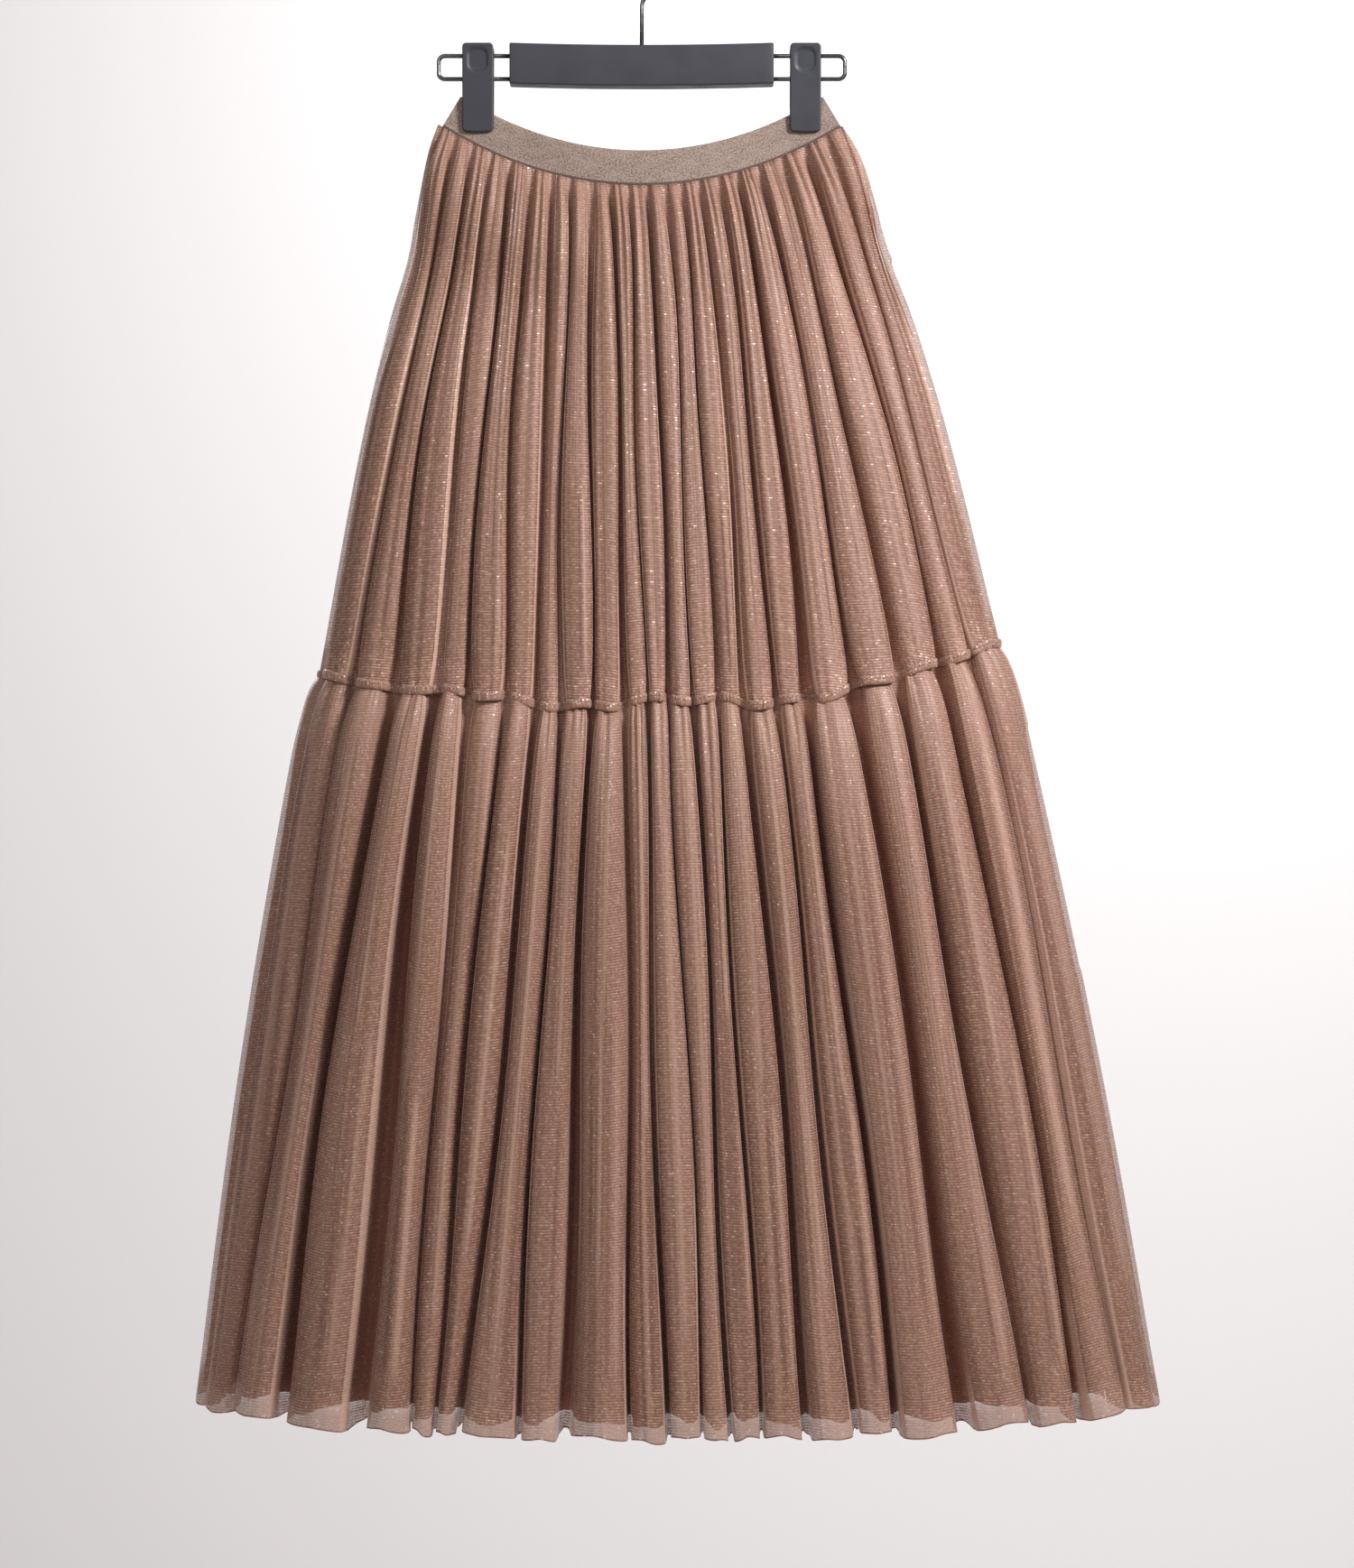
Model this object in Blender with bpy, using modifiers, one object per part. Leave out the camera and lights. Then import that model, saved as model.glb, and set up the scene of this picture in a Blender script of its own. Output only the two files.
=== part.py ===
"""A two-tier gathered tulle maxi skirt hanging from a clip hanger.

Everything is in metres with +Z up. The origin is the inside top of the hanger's hook, where the rail
that carries it would touch. The front of the skirt faces -Y, and left and right are those of someone
who looks at it, so +X points to the right.

Each band of cloth is a wall on a closed ring. A ring runs from the left side (position 0) across the
front to the right side (0.5) and across the back to the left side again (1). Its wall swings in and
out of an oval base line in folds, and the panels are cut from it at the troughs behind the side folds.
"""

import math
from collections import namedtuple

import bmesh
import bpy
import numpy as np
from mathutils import Matrix, Vector

# ---- Driving sizes of the hanger ------------------------------------------------------------------

WIRE_RADIUS = 0.0016
HOOK_RADIUS = 0.0222  # of the wire's middle line
HOOK_LEAN = math.radians(42)  # of the straight run above the stem's bend
HOOK_BEND_RADIUS = 0.0100
HOOK_END = math.radians(205)  # where the hook's arc stops, counted from +X
STEM_LENGTH = 0.0286  # from the bar to the start of the bend
BAR_LENGTH, BAR_DEPTH, BAR_HEIGHT = 0.190, 0.017, 0.0295
BAR_SAG = 0.0016  # the bar's ends stand this much higher than its middle
BAR_BEVEL = 0.0012
RAIL_SPACING = 0.0166
WIRE_END_X = 0.1462  # of the wire's middle line
WIRE_CORNER = 0.0045
SOCKET_DEPTH = 0.012
SOCKET_CLEARANCE = 0.0003
CLIP_X, CLIP_WIDTH, CLIP_HEIGHT = 0.1177, 0.0224, 0.0631
CLIP_CORNER = 0.0030
JAW_TOP_REACH, JAW_FOOT_REACH = 0.0095, 0.0055  # of a jaw's face from the hanger's plane
THUMB_WIDTH, THUMB_HEIGHT, THUMB_DEPTH, THUMB_DROP = 0.0150, 0.0155, 0.0008, 0.0115
THUMB_CORNER = 0.0050
SPRING_RADIUS, SPRING_LENGTH, SPRING_DROP = 0.0042, 0.0130, 0.0346
ROUND_SIDES = 12  # of a socket or a spring

HOOK_MIDDLE_Z = WIRE_RADIUS - HOOK_RADIUS
CORNER_Z = HOOK_MIDDLE_Z - HOOK_RADIUS / math.sin(HOOK_LEAN)  # where the two straight runs would meet
BEND_Z = CORNER_Z - HOOK_BEND_RADIUS * math.tan(HOOK_LEAN / 2)
BAR_TOP = BEND_Z - STEM_LENGTH
RAIL_TOP_Z = BAR_TOP - 0.0068
RAIL_LOW_Z = RAIL_TOP_Z - RAIL_SPACING
CLIP_TOP = BAR_TOP + 0.0013


# ---- Driving sizes of the cloth -------------------------------------------------------------------

SEAM_GAP = 0.0003  # clear space where two pieces are sewn together
NET_WALL = 0.0012  # two plies of soft net
TAPE_WALL = 0.0018  # folded seam allowance between the tiers
TAPE_HEIGHT = 0.0075
INNER_WALL = 0.0010
INNER_HALF_GAP = 0.0016  # least distance of its middle from the hanger's plane
SIDE_INSET = 1.6  # the inner layer stands this many times further in at the sides
BAND_WALL = 0.0022  # cloth-covered elastic
BAND_HEIGHT = 0.0263
BAND_HALF_LENGTH = 0.137  # along X, at the middle of the band's height
BAND_Z = BAR_TOP - 0.0887  # middle of the band at centre front
BAND_SAG = 2.2  # the band hangs between its clips in the curve z = BAND_Z + BAND_SAG * x * x
CLIP_SHARE = 0.78  # where the clips take hold, as a share of the way from the middle to a side
BAND_FOLD_SHARE = 0.965  # past here the band turns back on itself at the side

WAIST_Z, WAIST_SAG = BAR_TOP - 0.1019, 2.08  # the gathered edge follows the lower edge of the band
SEAM_Z, SEAM_RISE_LEFT, SEAM_RISE_RIGHT, SEAM_POWER = BAR_TOP - 0.4737, 0.0215, 0.0440, 2.6
HEM_Z, HEM_RISE = BAR_TOP - 0.9842, 0.0105
INNER_HEM_RISE = 0.014  # the inner layer ends this far above the outer hem

POINTS_PER_FOLD = 6
INNER_WAVES = 12  # across the front, and as many across the back
INNER_POINTS_PER_WAVE = 4
INNER_SIDE_COLUMNS = 1  # the front panel reaches this many columns round each side
INNER_WAVE_DEPTHS = (0.0, 0.0008, 0.0025, 0.0035, 0.0045, 0.0055, 0.0065)  # one for each level
CREST_WIDTH = 0.125  # how far a fold's crest spreads over its neighbours, as a share of its width
CREST_ROUND = 0.045
FULL_FOLD = 0.009  # a fold less deep than this has a less spread crest
MOST_SPREAD = 1.3  # how much deeper than its section's fold depth a wide fold may be
MOST_STEEP = 0.55  # a fold's half depth is at most this share of its width
LEAST_MITRE = 0.75  # a wall's corner point moves out by at most the reciprocal of this
BASE_POINTS = 721  # samples of a base line, from side to side
SHARP_ANGLE = math.radians(60)

# One row for each level of a tier. drop is the share of the way down the tier. half_width, front and
# back are the reach of the crests from the hanger's plane, square is the oval's exponent, pinch is how
# far its sides are pressed together, fold is the half depth of the folds and gather that of the small
# gathers, two of which lie on each fold.
Section = namedtuple("Section", "drop half_width centre front back square pinch fold gather")

UPPER_SECTIONS = (
    Section(0.00, 0.1448, -0.001, 0.0105, 0.0105, 8.0, 0.42, 0.0006, 0.0008),
    Section(0.09, 0.1590, 0.002, 0.0280, 0.0240, 3.2, 0.15, 0.0052, 0.0012),
    Section(0.52, 0.2060, 0.007, 0.0560, 0.0440, 2.5, 0.00, 0.0090, 0.0000),
    Section(1.00, 0.2460, 0.012, 0.0800, 0.0590, 2.3, 0.00, 0.0085, 0.0000),
)
LOWER_SECTIONS = (
    UPPER_SECTIONS[-1]._replace(drop=0.00),
    Section(0.08, 0.2590, 0.013, 0.0930, 0.0690, 2.3, 0.00, 0.0125, 0.0000),
    Section(0.50, 0.3030, 0.019, 0.1080, 0.0790, 2.2, 0.00, 0.0145, 0.0000),
    Section(1.00, 0.3465, 0.026, 0.1240, 0.0900, 2.2, 0.00, 0.0155, 0.0000),
)

# One row for each trough between the folds of the front: where it lies across the front at the waist,
# at the seam between the tiers and at the hem, from -1 at the left side to 1 at the right side.
Trough = namedtuple("Trough", "waist seam hem")
FRONT_TROUGHS = (
    Trough(-0.925, -0.903, -0.945),
    Trough(-0.835, -0.780, -0.840),
    Trough(-0.740, -0.651, -0.673),
    Trough(-0.645, -0.562, -0.561),
    Trough(-0.540, -0.446, -0.512),
    Trough(-0.440, -0.356, -0.462),
    Trough(-0.350, -0.286, -0.329),
    Trough(-0.250, -0.192, -0.243),
    Trough(-0.150, -0.093, -0.100),
    Trough(-0.060, -0.030, -0.016),
    Trough(0.030, 0.030, 0.052),
    Trough(0.115, 0.103, 0.110),
    Trough(0.205, 0.178, 0.175),
    Trough(0.290, 0.248, 0.269),
    Trough(0.385, 0.347, 0.377),
    Trough(0.480, 0.433, 0.454),
    Trough(0.585, 0.575, 0.602),
    Trough(0.700, 0.711, 0.741),
    Trough(0.815, 0.835, 0.840),
    Trough(0.920, 0.925, 0.940),
)
SIDE_FOLD_SHARE = 1 / 3  # of the way from a side to its nearest trough belongs to the side fold
FRONT_FOLDS = len(FRONT_TROUGHS) + 3  # the front panel takes both side folds
BACK_FOLDS = len(FRONT_TROUGHS) + 1

# ---- Small helpers --------------------------------------------------------------------------------

def clear_scene():
    for old in list(bpy.data.objects):
        bpy.data.objects.remove(old)


def material(name, colour, roughness, metallic=0.0):
    made = bpy.data.materials.new(name)
    made.use_nodes = True
    shader = made.node_tree.nodes["Principled BSDF"]
    shader.inputs["Base Color"].default_value = (*colour, 1.0)
    shader.inputs["Roughness"].default_value = roughness
    shader.inputs["Metallic"].default_value = metallic
    return made


def add_object(name, mesh, finish, collection):
    made = bpy.data.objects.new(name, mesh)
    mesh.materials.append(finish)
    collection.objects.link(made)
    return made


# ---- Base lines and folds -------------------------------------------------------------------------

def between_clips(share):
    """1 at the middle of the waist, falling smoothly to 0 where the clips press it flat."""
    return np.clip(1 - (share / CLIP_SHARE) ** 2, 0, None) ** 2


def base_line(section, inset=0.0):
    """Points of a section's oval base line, their ring positions 0..1 and the two half lengths.

    The oval is |x|^n + |y|^n = 1 scaled to its half width and depths, pressed flat towards its sides
    by the pinch, and it lies one fold depth inside the reach of the crests. An inset line lies that
    far inside the oval, and further at the sides, where its own round end closes it.
    """
    share = -np.cos(np.linspace(0, math.pi, BASE_POINTS))
    half_width = section.half_width - section.fold
    x = (half_width - SIDE_INSET * inset) * share
    oval_share = x / half_width
    reach = (1 - np.abs(oval_share) ** section.square) ** (1 / section.square)
    reach *= 1 - section.pinch * (1 - between_clips(oval_share))
    depths = [(depth - section.fold) * reach for depth in (section.front, section.back)]
    if inset:
        closing = (1 - share ** 4) ** (1 / 4)
        depths = [np.maximum(depth - inset, INNER_HALF_GAP) * closing for depth in depths]
    front = np.column_stack([section.centre + x, -depths[0]])
    back = np.column_stack([section.centre + x, depths[1]])[::-1]
    halves = []
    for half, start in ((front, 0.0), (back, 0.5)):
        steps = np.linalg.norm(np.diff(half, axis=0), axis=1)
        run = np.concatenate([[0], np.cumsum(steps)])
        halves.append((half, start + 0.5 * run / run[-1], run[-1]))
    points = np.concatenate([halves[0][0], halves[1][0][1:]])
    places = np.concatenate([halves[0][1], halves[1][1][1:]])
    return points, places, (halves[0][2], halves[1][2]), share


def troughs_of(section, trough_shares):
    """Ring positions of all the troughs of a section, starting behind the left side fold."""
    _, places, _, share = base_line(section)
    front_places, back_places = places[:BASE_POINTS], places[BASE_POINTS - 1:][::-1]
    front = np.interp(trough_shares, share, front_places)
    back = np.interp(-trough_shares, share, back_places)
    left_back = -SIDE_FOLD_SHARE * (1 - back[-1])
    left_front = SIDE_FOLD_SHARE * front[0]
    right_front = 0.5 - SIDE_FOLD_SHARE * (0.5 - front[-1])
    right_back = 0.5 + SIDE_FOLD_SHARE * (back[0] - 0.5)
    return np.concatenate([[left_back, left_front], front, [right_front, right_back], back,
                           [1 + left_back]])


def on_line(section, positions, inset=0.0):
    """Points and outward unit normals of the base line at ring positions."""
    points, places, _, _ = base_line(section, inset)
    wrapped = np.mod(positions, 1.0)
    slopes = np.gradient(points, axis=0)
    slopes[0] = slopes[-1] = (slopes[0] + slopes[-1]) / 2
    found = [np.interp(wrapped, places, values) for values in (*points.T, *slopes.T)]
    tangents = np.column_stack(found[2:])
    tangents /= np.linalg.norm(tangents, axis=1)[:, None]
    return np.column_stack(found[:2]), np.column_stack([tangents[:, 1], -tangents[:, 0]])


def folded_ring(section, trough_shares):
    """The middle line of the cloth at one section: x, y for each column, first trough to last.

    Along a fold the angle a runs from -180 degrees at one trough through 0 at the crest to 180. The
    cloth stands off the base line by fold * cos a, and slides along it by sin a and sin 2a, which
    makes the crest a broad tube and the trough a narrow slot.
    """
    troughs = troughs_of(section, trough_shares)
    _, _, lengths, _ = base_line(section)
    widths = np.diff(troughs)
    middles = (troughs[1:] + troughs[:-1]) / 2
    true_widths = widths * 2 * np.where(middles < 0.5, *lengths)
    spread = np.minimum(np.sqrt(true_widths / true_widths.mean()), MOST_SPREAD)
    heights = np.minimum(section.fold * spread, MOST_STEEP * true_widths)
    low = np.minimum(heights, np.roll(heights, 1))
    angle = np.arange(POINTS_PER_FOLD) * 2 * math.pi / POINTS_PER_FOLD - math.pi
    slide = CREST_WIDTH * np.sin(angle) + CREST_ROUND * np.sin(2 * angle)
    slide *= min(1, section.fold / FULL_FOLD)
    share = (angle + math.pi) / (2 * math.pi) + slide
    places = (troughs[:-1, None] + widths[:, None] * share).ravel()
    before = angle < 0
    low_here = np.where(before, low[:, None], np.roll(low, -1)[:, None])
    scale = np.where(np.cos(angle) > 0, heights[:, None], low_here)
    stand = (scale * np.cos(angle)).ravel()
    stand += np.tile(-section.gather * np.cos(2 * angle), len(widths))
    points, normals = on_line(section, places)
    return points + normals * stand[:, None]


def line_normals(points):
    """Outward normals of a closed line of points, lengthened at corners so that a wall keeps its
    thickness."""
    ahead = np.roll(points, -1, axis=0) - points
    ahead /= np.linalg.norm(ahead, axis=1)[:, None]
    behind = np.roll(ahead, 1, axis=0)
    mean = ahead + behind
    mean /= np.linalg.norm(mean, axis=1)[:, None]
    corner = np.clip((mean * ahead).sum(axis=1), LEAST_MITRE, 1)
    return np.column_stack([mean[:, 1], -mean[:, 0]]) / corner[:, None]


# ---- Walls of cloth -------------------------------------------------------------------------------

def wall_mesh(name, outer, inner):
    """A closed wall between two grids of points, [row, column, xyz], rows running downwards."""
    rows, columns = outer.shape[:2]
    count = rows * columns
    index = np.arange(count).reshape(rows, columns)
    corners = (index[:-1, :-1], index[1:, :-1], index[1:, 1:], index[:-1, 1:])
    faces = [np.stack(corners, axis=-1).reshape(-1, 4)]
    faces.append(np.stack([c + count for c in corners[::-1]], axis=-1).reshape(-1, 4))
    rims = (index[0], index[-1][::-1], index[:, 0][::-1], index[:, -1])
    for rim in rims:
        quads = (rim[:-1], rim[1:], rim[1:] + count, rim[:-1] + count)
        faces.append(np.stack(quads, axis=-1))
    mesh = bpy.data.meshes.new(name)
    points = np.concatenate([outer.reshape(-1, 3), inner.reshape(-1, 3)])
    mesh.from_pydata(points.tolist(), [], np.concatenate(faces).tolist())
    mesh.shade_smooth()
    mesh.set_sharp_from_angle(angle=SHARP_ANGLE)
    return mesh


def wall_faces(lines, wall):
    """Plans of a ring's outer and inner faces, [row, column, xy], from its middle line in each row."""
    lines = np.array(lines)
    normals = np.array([line_normals(line) for line in lines])
    return lines + wall / 2 * normals, lines - wall / 2 * normals


def with_heights(plan, heights):
    return np.concatenate([plan, np.array(heights)[..., None]], axis=-1)


def cut_panel(grids, first, last):
    """The columns first to last of a ring, as an open panel half a seam gap short at each side."""
    width = grids[0].shape[1]
    columns = np.arange(first, last + 1) % width
    panel = [grid[:, columns].copy() for grid in grids]
    for edge, beside in ((0, 1), (-1, -2)):
        mean = (panel[0] + panel[1]) / 2
        step = mean[:, beside, :2] - mean[:, edge, :2]
        normal = panel[0][:, edge, :2] - panel[1][:, edge, :2]
        normal /= np.linalg.norm(normal, axis=1)[:, None]
        step -= normal * (step * normal).sum(axis=1)[:, None]
        step *= SEAM_GAP / 2 / np.linalg.norm(step, axis=1)[:, None]
        for grid in panel:
            grid[:, edge, :2] += step
    return panel


def across(section, line):
    """Where points lie across a section, from -1 at the left side to 1 at the right."""
    reach = section.half_width - section.fold
    return np.clip((line[:, 0] - section.centre) / reach, -1, 1)


def waist_height(x):
    return WAIST_Z + WAIST_SAG * x ** 2


def seam_height(share):
    rise = np.where(share < 0, SEAM_RISE_LEFT, SEAM_RISE_RIGHT)
    return SEAM_Z + rise * np.abs(share) ** SEAM_POWER


def hem_height(share):
    return HEM_Z + HEM_RISE * share ** 2


def mixed_troughs(upper_name, lower_name, drop):
    upper = np.array([getattr(row, upper_name) for row in FRONT_TROUGHS])
    lower = np.array([getattr(row, lower_name) for row in FRONT_TROUGHS])
    return upper + (lower - upper) * drop


def tier_grids(sections, names, top_of, foot_of):
    """Grids of a whole tier. top_of and foot_of give the heights of its two edges."""
    lines = [folded_ring(row, mixed_troughs(*names, row.drop)) for row in sections]
    grids = []
    for plan in wall_faces(lines, NET_WALL):
        top = top_of(sections[0], plan[0])
        foot = foot_of(sections[-1], plan[-1])
        grids.append(with_heights(plan, [top + (foot - top) * row.drop for row in sections]))
    return grids


def panel_pair(grids, name, finish, collection):
    """Cuts a ring into its front and back panels."""
    front_end = FRONT_FOLDS * POINTS_PER_FOLD
    ring_end = (FRONT_FOLDS + BACK_FOLDS) * POINTS_PER_FOLD
    for side, first, last in (("front", 0, front_end), ("back", front_end, ring_end)):
        mesh = wall_mesh(f"{name}_{side}", *cut_panel(grids, first, last))
        add_object(f"{name}_{side}", mesh, finish, collection)


def build_upper_tier(finish, collection):
    grids = tier_grids(
        UPPER_SECTIONS, ("waist", "seam"),
        lambda row, line: waist_height(line[:, 0]) - SEAM_GAP,
        lambda row, line: seam_height(across(row, line)) + TAPE_HEIGHT / 2 + SEAM_GAP)
    panel_pair(grids, "upper_tier", finish, collection)


def build_lower_tier(finish, collection):
    grids = tier_grids(
        LOWER_SECTIONS, ("seam", "hem"),
        lambda row, line: seam_height(across(row, line)) - TAPE_HEIGHT / 2 - SEAM_GAP,
        lambda row, line: hem_height(across(row, line)))
    panel_pair(grids, "lower_tier", finish, collection)


def build_seam_tape(finish, collection):
    """The pressed-up seam allowance that joins the tiers, folded with them."""
    row = UPPER_SECTIONS[-1]
    line = folded_ring(row, mixed_troughs("waist", "seam", 1.0))
    grids = []
    for plan in wall_faces((line, line), TAPE_WALL):
        middle = seam_height(across(row, plan[0]))
        grids.append(with_heights(plan, (middle + TAPE_HEIGHT / 2, middle - TAPE_HEIGHT / 2)))
    panel_pair(grids, "seam_tape", finish, collection)


# ---- Inner layer ----------------------------------------------------------------------------------

def inner_line(section, wave):
    """A gentle wave inside the troughs of the folds, clear of them."""
    inset = MOST_SPREAD * section.fold + section.gather + NET_WALL + SEAM_GAP + wave
    count = INNER_WAVES * INNER_POINTS_PER_WAVE * 2
    places = np.arange(count) / count
    points, normals = on_line(section, places, inset)
    stand = wave * np.cos(2 * math.pi * INNER_WAVES * 2 * places)
    return points + normals * stand[:, None]


def build_inner_layer(finish, collection):
    """The dense layer under the net, hung from the band and ending just above the outer hem."""
    rows = UPPER_SECTIONS + LOWER_SECTIONS[1:]
    lines = [inner_line(row, wave) for row, wave in zip(rows, INNER_WAVE_DEPTHS)]
    grids = []
    for plan in wall_faces(lines, INNER_WALL):
        waist = waist_height(plan[0, :, 0]) - SEAM_GAP
        seam_row = len(UPPER_SECTIONS) - 1
        seam = seam_height(across(rows[seam_row], plan[seam_row]))
        hem = hem_height(across(rows[-1], plan[-1])) + INNER_HEM_RISE
        heights = [waist + (seam - waist) * row.drop for row in UPPER_SECTIONS]
        heights += [seam + (hem - seam) * row.drop for row in LOWER_SECTIONS[1:]]
        grids.append(with_heights(plan, heights))
    half = INNER_WAVES * INNER_POINTS_PER_WAVE
    cuts = (-INNER_SIDE_COLUMNS, half + INNER_SIDE_COLUMNS, 2 * half - INNER_SIDE_COLUMNS)
    for side, first, last in (("front", *cuts[:2]), ("back", *cuts[1:])):
        mesh = wall_mesh(f"inner_layer_{side}", *cut_panel(grids, first, last))
        add_object(f"inner_layer_{side}", mesh, finish, collection)


# ---- Waistband ------------------------------------------------------------------------------------

BAND_COLUMNS = 36
# One row for each level of the band: drop is the share of its height, slack is how far its inner faces
# stand apart at centre front, press the same beside the clips, both from the hanger's plane.
BandRow = namedtuple("BandRow", "drop slack press")
BAND_ROWS = (
    BandRow(0.00, 0.0052, 0.0000),
    BandRow(0.85, 0.0068, 0.0000),
    BandRow(1.00, 0.0072, 0.0012),
)


def band_point(x, drop):
    """x and z of the band at a place along it: its middle line sags between the clips, and its height
    is measured square to that line."""
    slope = 2 * BAND_SAG * x
    away = (0.5 - drop) * BAND_HEIGHT / np.sqrt(1 + slope ** 2)
    return x - slope * away, BAND_Z + BAND_SAG * x ** 2 + away


def build_waistband(finish, collection):
    """Two strips of covered elastic, pressed together where the clips hold them."""
    along = np.linspace(-1, 1, BAND_COLUMNS + 1)
    turned = np.clip((np.abs(along) - BAND_FOLD_SHARE) / (1 - BAND_FOLD_SHARE), 0, 1)
    closing = np.sqrt(1 - turned ** 2)
    for side, way in (("front", -1), ("back", 1)):
        grids = ([], [])
        for row in BAND_ROWS:
            x, z = band_point(BAND_HALF_LENGTH * along, row.drop)
            slack = row.press + (row.slack - row.press) * between_clips(along)
            near = SEAM_GAP / 2 + slack * closing
            for grid, reach in zip(grids, (near + BAND_WALL, near)):
                grid.append(np.column_stack([x, way * reach, z]))
        outer, inner = (np.array(grid) for grid in grids)
        if way > 0:
            outer, inner = outer[:, ::-1], inner[:, ::-1]
        add_object(f"waistband_{side}", wall_mesh(f"waistband_{side}", outer, inner), finish,
                   collection)


# ---- Hanger ---------------------------------------------------------------------------------------

def wire(name, points, finish, collection):
    """A round wire through points in the hanger's plane, each an x and a z."""
    curve = bpy.data.curves.new(name, "CURVE")
    curve.dimensions = "3D"
    curve.bevel_depth = WIRE_RADIUS
    curve.bevel_resolution = 2
    curve.use_fill_caps = True
    spline = curve.splines.new("POLY")
    spline.points.add(len(points) - 1)
    for place, (x, z) in zip(spline.points, points):
        place.co = (x, 0.0, z, 1.0)
    made = bpy.data.objects.new(name, curve)
    curve.materials.append(finish)
    collection.objects.link(made)
    return made


def arc(centre_x, centre_z, radius, start, end, steps):
    angles = np.linspace(start, end, steps + 1)
    return [(centre_x + radius * math.cos(a), centre_z + radius * math.sin(a)) for a in angles]


def build_hook(finish, collection):
    """Stem, a bend, a straight run that leans away, and an arc over the top to the other side."""
    points = [(0.0, BAR_TOP - SOCKET_DEPTH)]
    points += arc(HOOK_BEND_RADIUS, BEND_Z, HOOK_BEND_RADIUS, math.pi, math.pi - HOOK_LEAN, 5)
    points += arc(0.0, HOOK_MIDDLE_Z, HOOK_RADIUS, -HOOK_LEAN, HOOK_END, 20)
    wire("hanger_hook", points, finish, collection)


def build_rails(finish, collection):
    """A hairpin of wire at each end of the bar, its two rails set in the bar."""
    inner_x = BAR_LENGTH / 2 - SOCKET_DEPTH + SOCKET_CLEARANCE
    corner_x = WIRE_END_X - WIRE_CORNER
    for side, way in (("left", -1), ("right", 1)):
        points = [(inner_x, RAIL_TOP_Z)]
        points += arc(corner_x, RAIL_TOP_Z - WIRE_CORNER, WIRE_CORNER, math.pi / 2, 0, 4)
        points += arc(corner_x, RAIL_LOW_Z + WIRE_CORNER, WIRE_CORNER, 0, -math.pi / 2, 4)
        points += [(inner_x, RAIL_LOW_Z)]
        wire(f"hanger_rails_{side}", [(way * x, z) for x, z in points], finish, collection)


def cylinder(name, radius, length, place, axis, collection):
    """A closed cylinder centred on a place, along a unit axis."""
    mesh = bpy.data.meshes.new(name)
    shape = bmesh.new()
    bmesh.ops.create_cone(shape, cap_ends=True, segments=ROUND_SIDES, radius1=radius,
                          radius2=radius, depth=length)
    turn = Vector((0, 0, 1)).rotation_difference(Vector(axis)).to_matrix().to_4x4()
    bmesh.ops.transform(shape, matrix=Matrix.Translation(place) @ turn, verts=shape.verts)
    shape.to_mesh(mesh)
    shape.free()
    made = bpy.data.objects.new(name, mesh)
    collection.objects.link(made)
    return made


def as_cutter(made):
    made.hide_render = True
    made.display_type = "WIRE"
    return made


def cut_from(target, cutter, operation="DIFFERENCE"):
    modifier = target.modifiers.new(cutter.name, "BOOLEAN")
    modifier.object = cutter
    modifier.operation = operation
    modifier.solver = "EXACT"


def build_bar(finish, collection, cutters):
    """The moulded bar over the middle of the wire, slightly bowed, with a socket for each wire."""
    mesh = bpy.data.meshes.new("hanger_bar")
    shape = bmesh.new()
    bmesh.ops.create_cube(shape, size=1.0)
    lengthways = [e for e in shape.edges if abs(e.verts[0].co.x - e.verts[1].co.x) > 0.5]
    bmesh.ops.subdivide_edges(shape, edges=lengthways, cuts=7, use_grid_fill=True)
    for vert in shape.verts:
        middle_z = BAR_TOP - BAR_HEIGHT / 2 + BAR_SAG * (2 * vert.co.x) ** 2
        vert.co = Vector((vert.co.x * BAR_LENGTH, vert.co.y * BAR_DEPTH,
                          vert.co.z * BAR_HEIGHT + middle_z))
    shape.to_mesh(mesh)
    shape.free()
    bar = add_object("hanger_bar", mesh, finish, collection)
    bevel = bar.modifiers.new("rounded edges", "BEVEL")
    bevel.width = BAR_BEVEL
    bevel.segments = 2
    bevel.limit_method = "ANGLE"
    bevel.angle_limit = SHARP_ANGLE
    hole = WIRE_RADIUS + SOCKET_CLEARANCE
    deep = 2 * (SOCKET_DEPTH + SOCKET_CLEARANCE)
    stem = cylinder("stem_socket", hole, deep, (0, 0, BAR_TOP), (0, 0, 1), cutters)
    cut_from(bar, as_cutter(stem))
    for side, way in (("left", -1), ("right", 1)):
        for level, z in (("top", RAIL_TOP_Z), ("low", RAIL_LOW_Z)):
            place = (way * BAR_LENGTH / 2, 0, z)
            socket = cylinder(f"{level}_socket_{side}", hole, deep, place, (1, 0, 0), cutters)
            cut_from(bar, as_cutter(socket))


# One row for each corner of a clip jaw's side outline, seen along the hanger: away is its distance from
# the hanger's plane and down its distance below the clip's top.
JawCorner = namedtuple("JawCorner", "away down")
RAIL_REACH = WIRE_RADIUS + SOCKET_CLEARANCE
JAW_FACE = SEAM_GAP / 2 + BAND_WALL + SEAM_GAP
JAW_OUTLINE = (
    JawCorner(JAW_TOP_REACH, 0.0),
    JawCorner(JAW_FOOT_REACH, CLIP_HEIGHT),
    JawCorner(JAW_FACE, CLIP_HEIGHT),
    JawCorner(JAW_FACE, CLIP_HEIGHT - 0.0160),
    JawCorner(0.0045, CLIP_HEIGHT - 0.0240),
    JawCorner(0.0050, CLIP_TOP - RAIL_LOW_Z - RAIL_REACH),
    JawCorner(SEAM_GAP / 2, CLIP_TOP - RAIL_LOW_Z - RAIL_REACH),
    JawCorner(SEAM_GAP / 2, CLIP_TOP - RAIL_TOP_Z + RAIL_REACH),
    JawCorner(0.0058, CLIP_TOP - RAIL_TOP_Z + RAIL_REACH),
    JawCorner(0.0070, 0.0),
)


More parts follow.
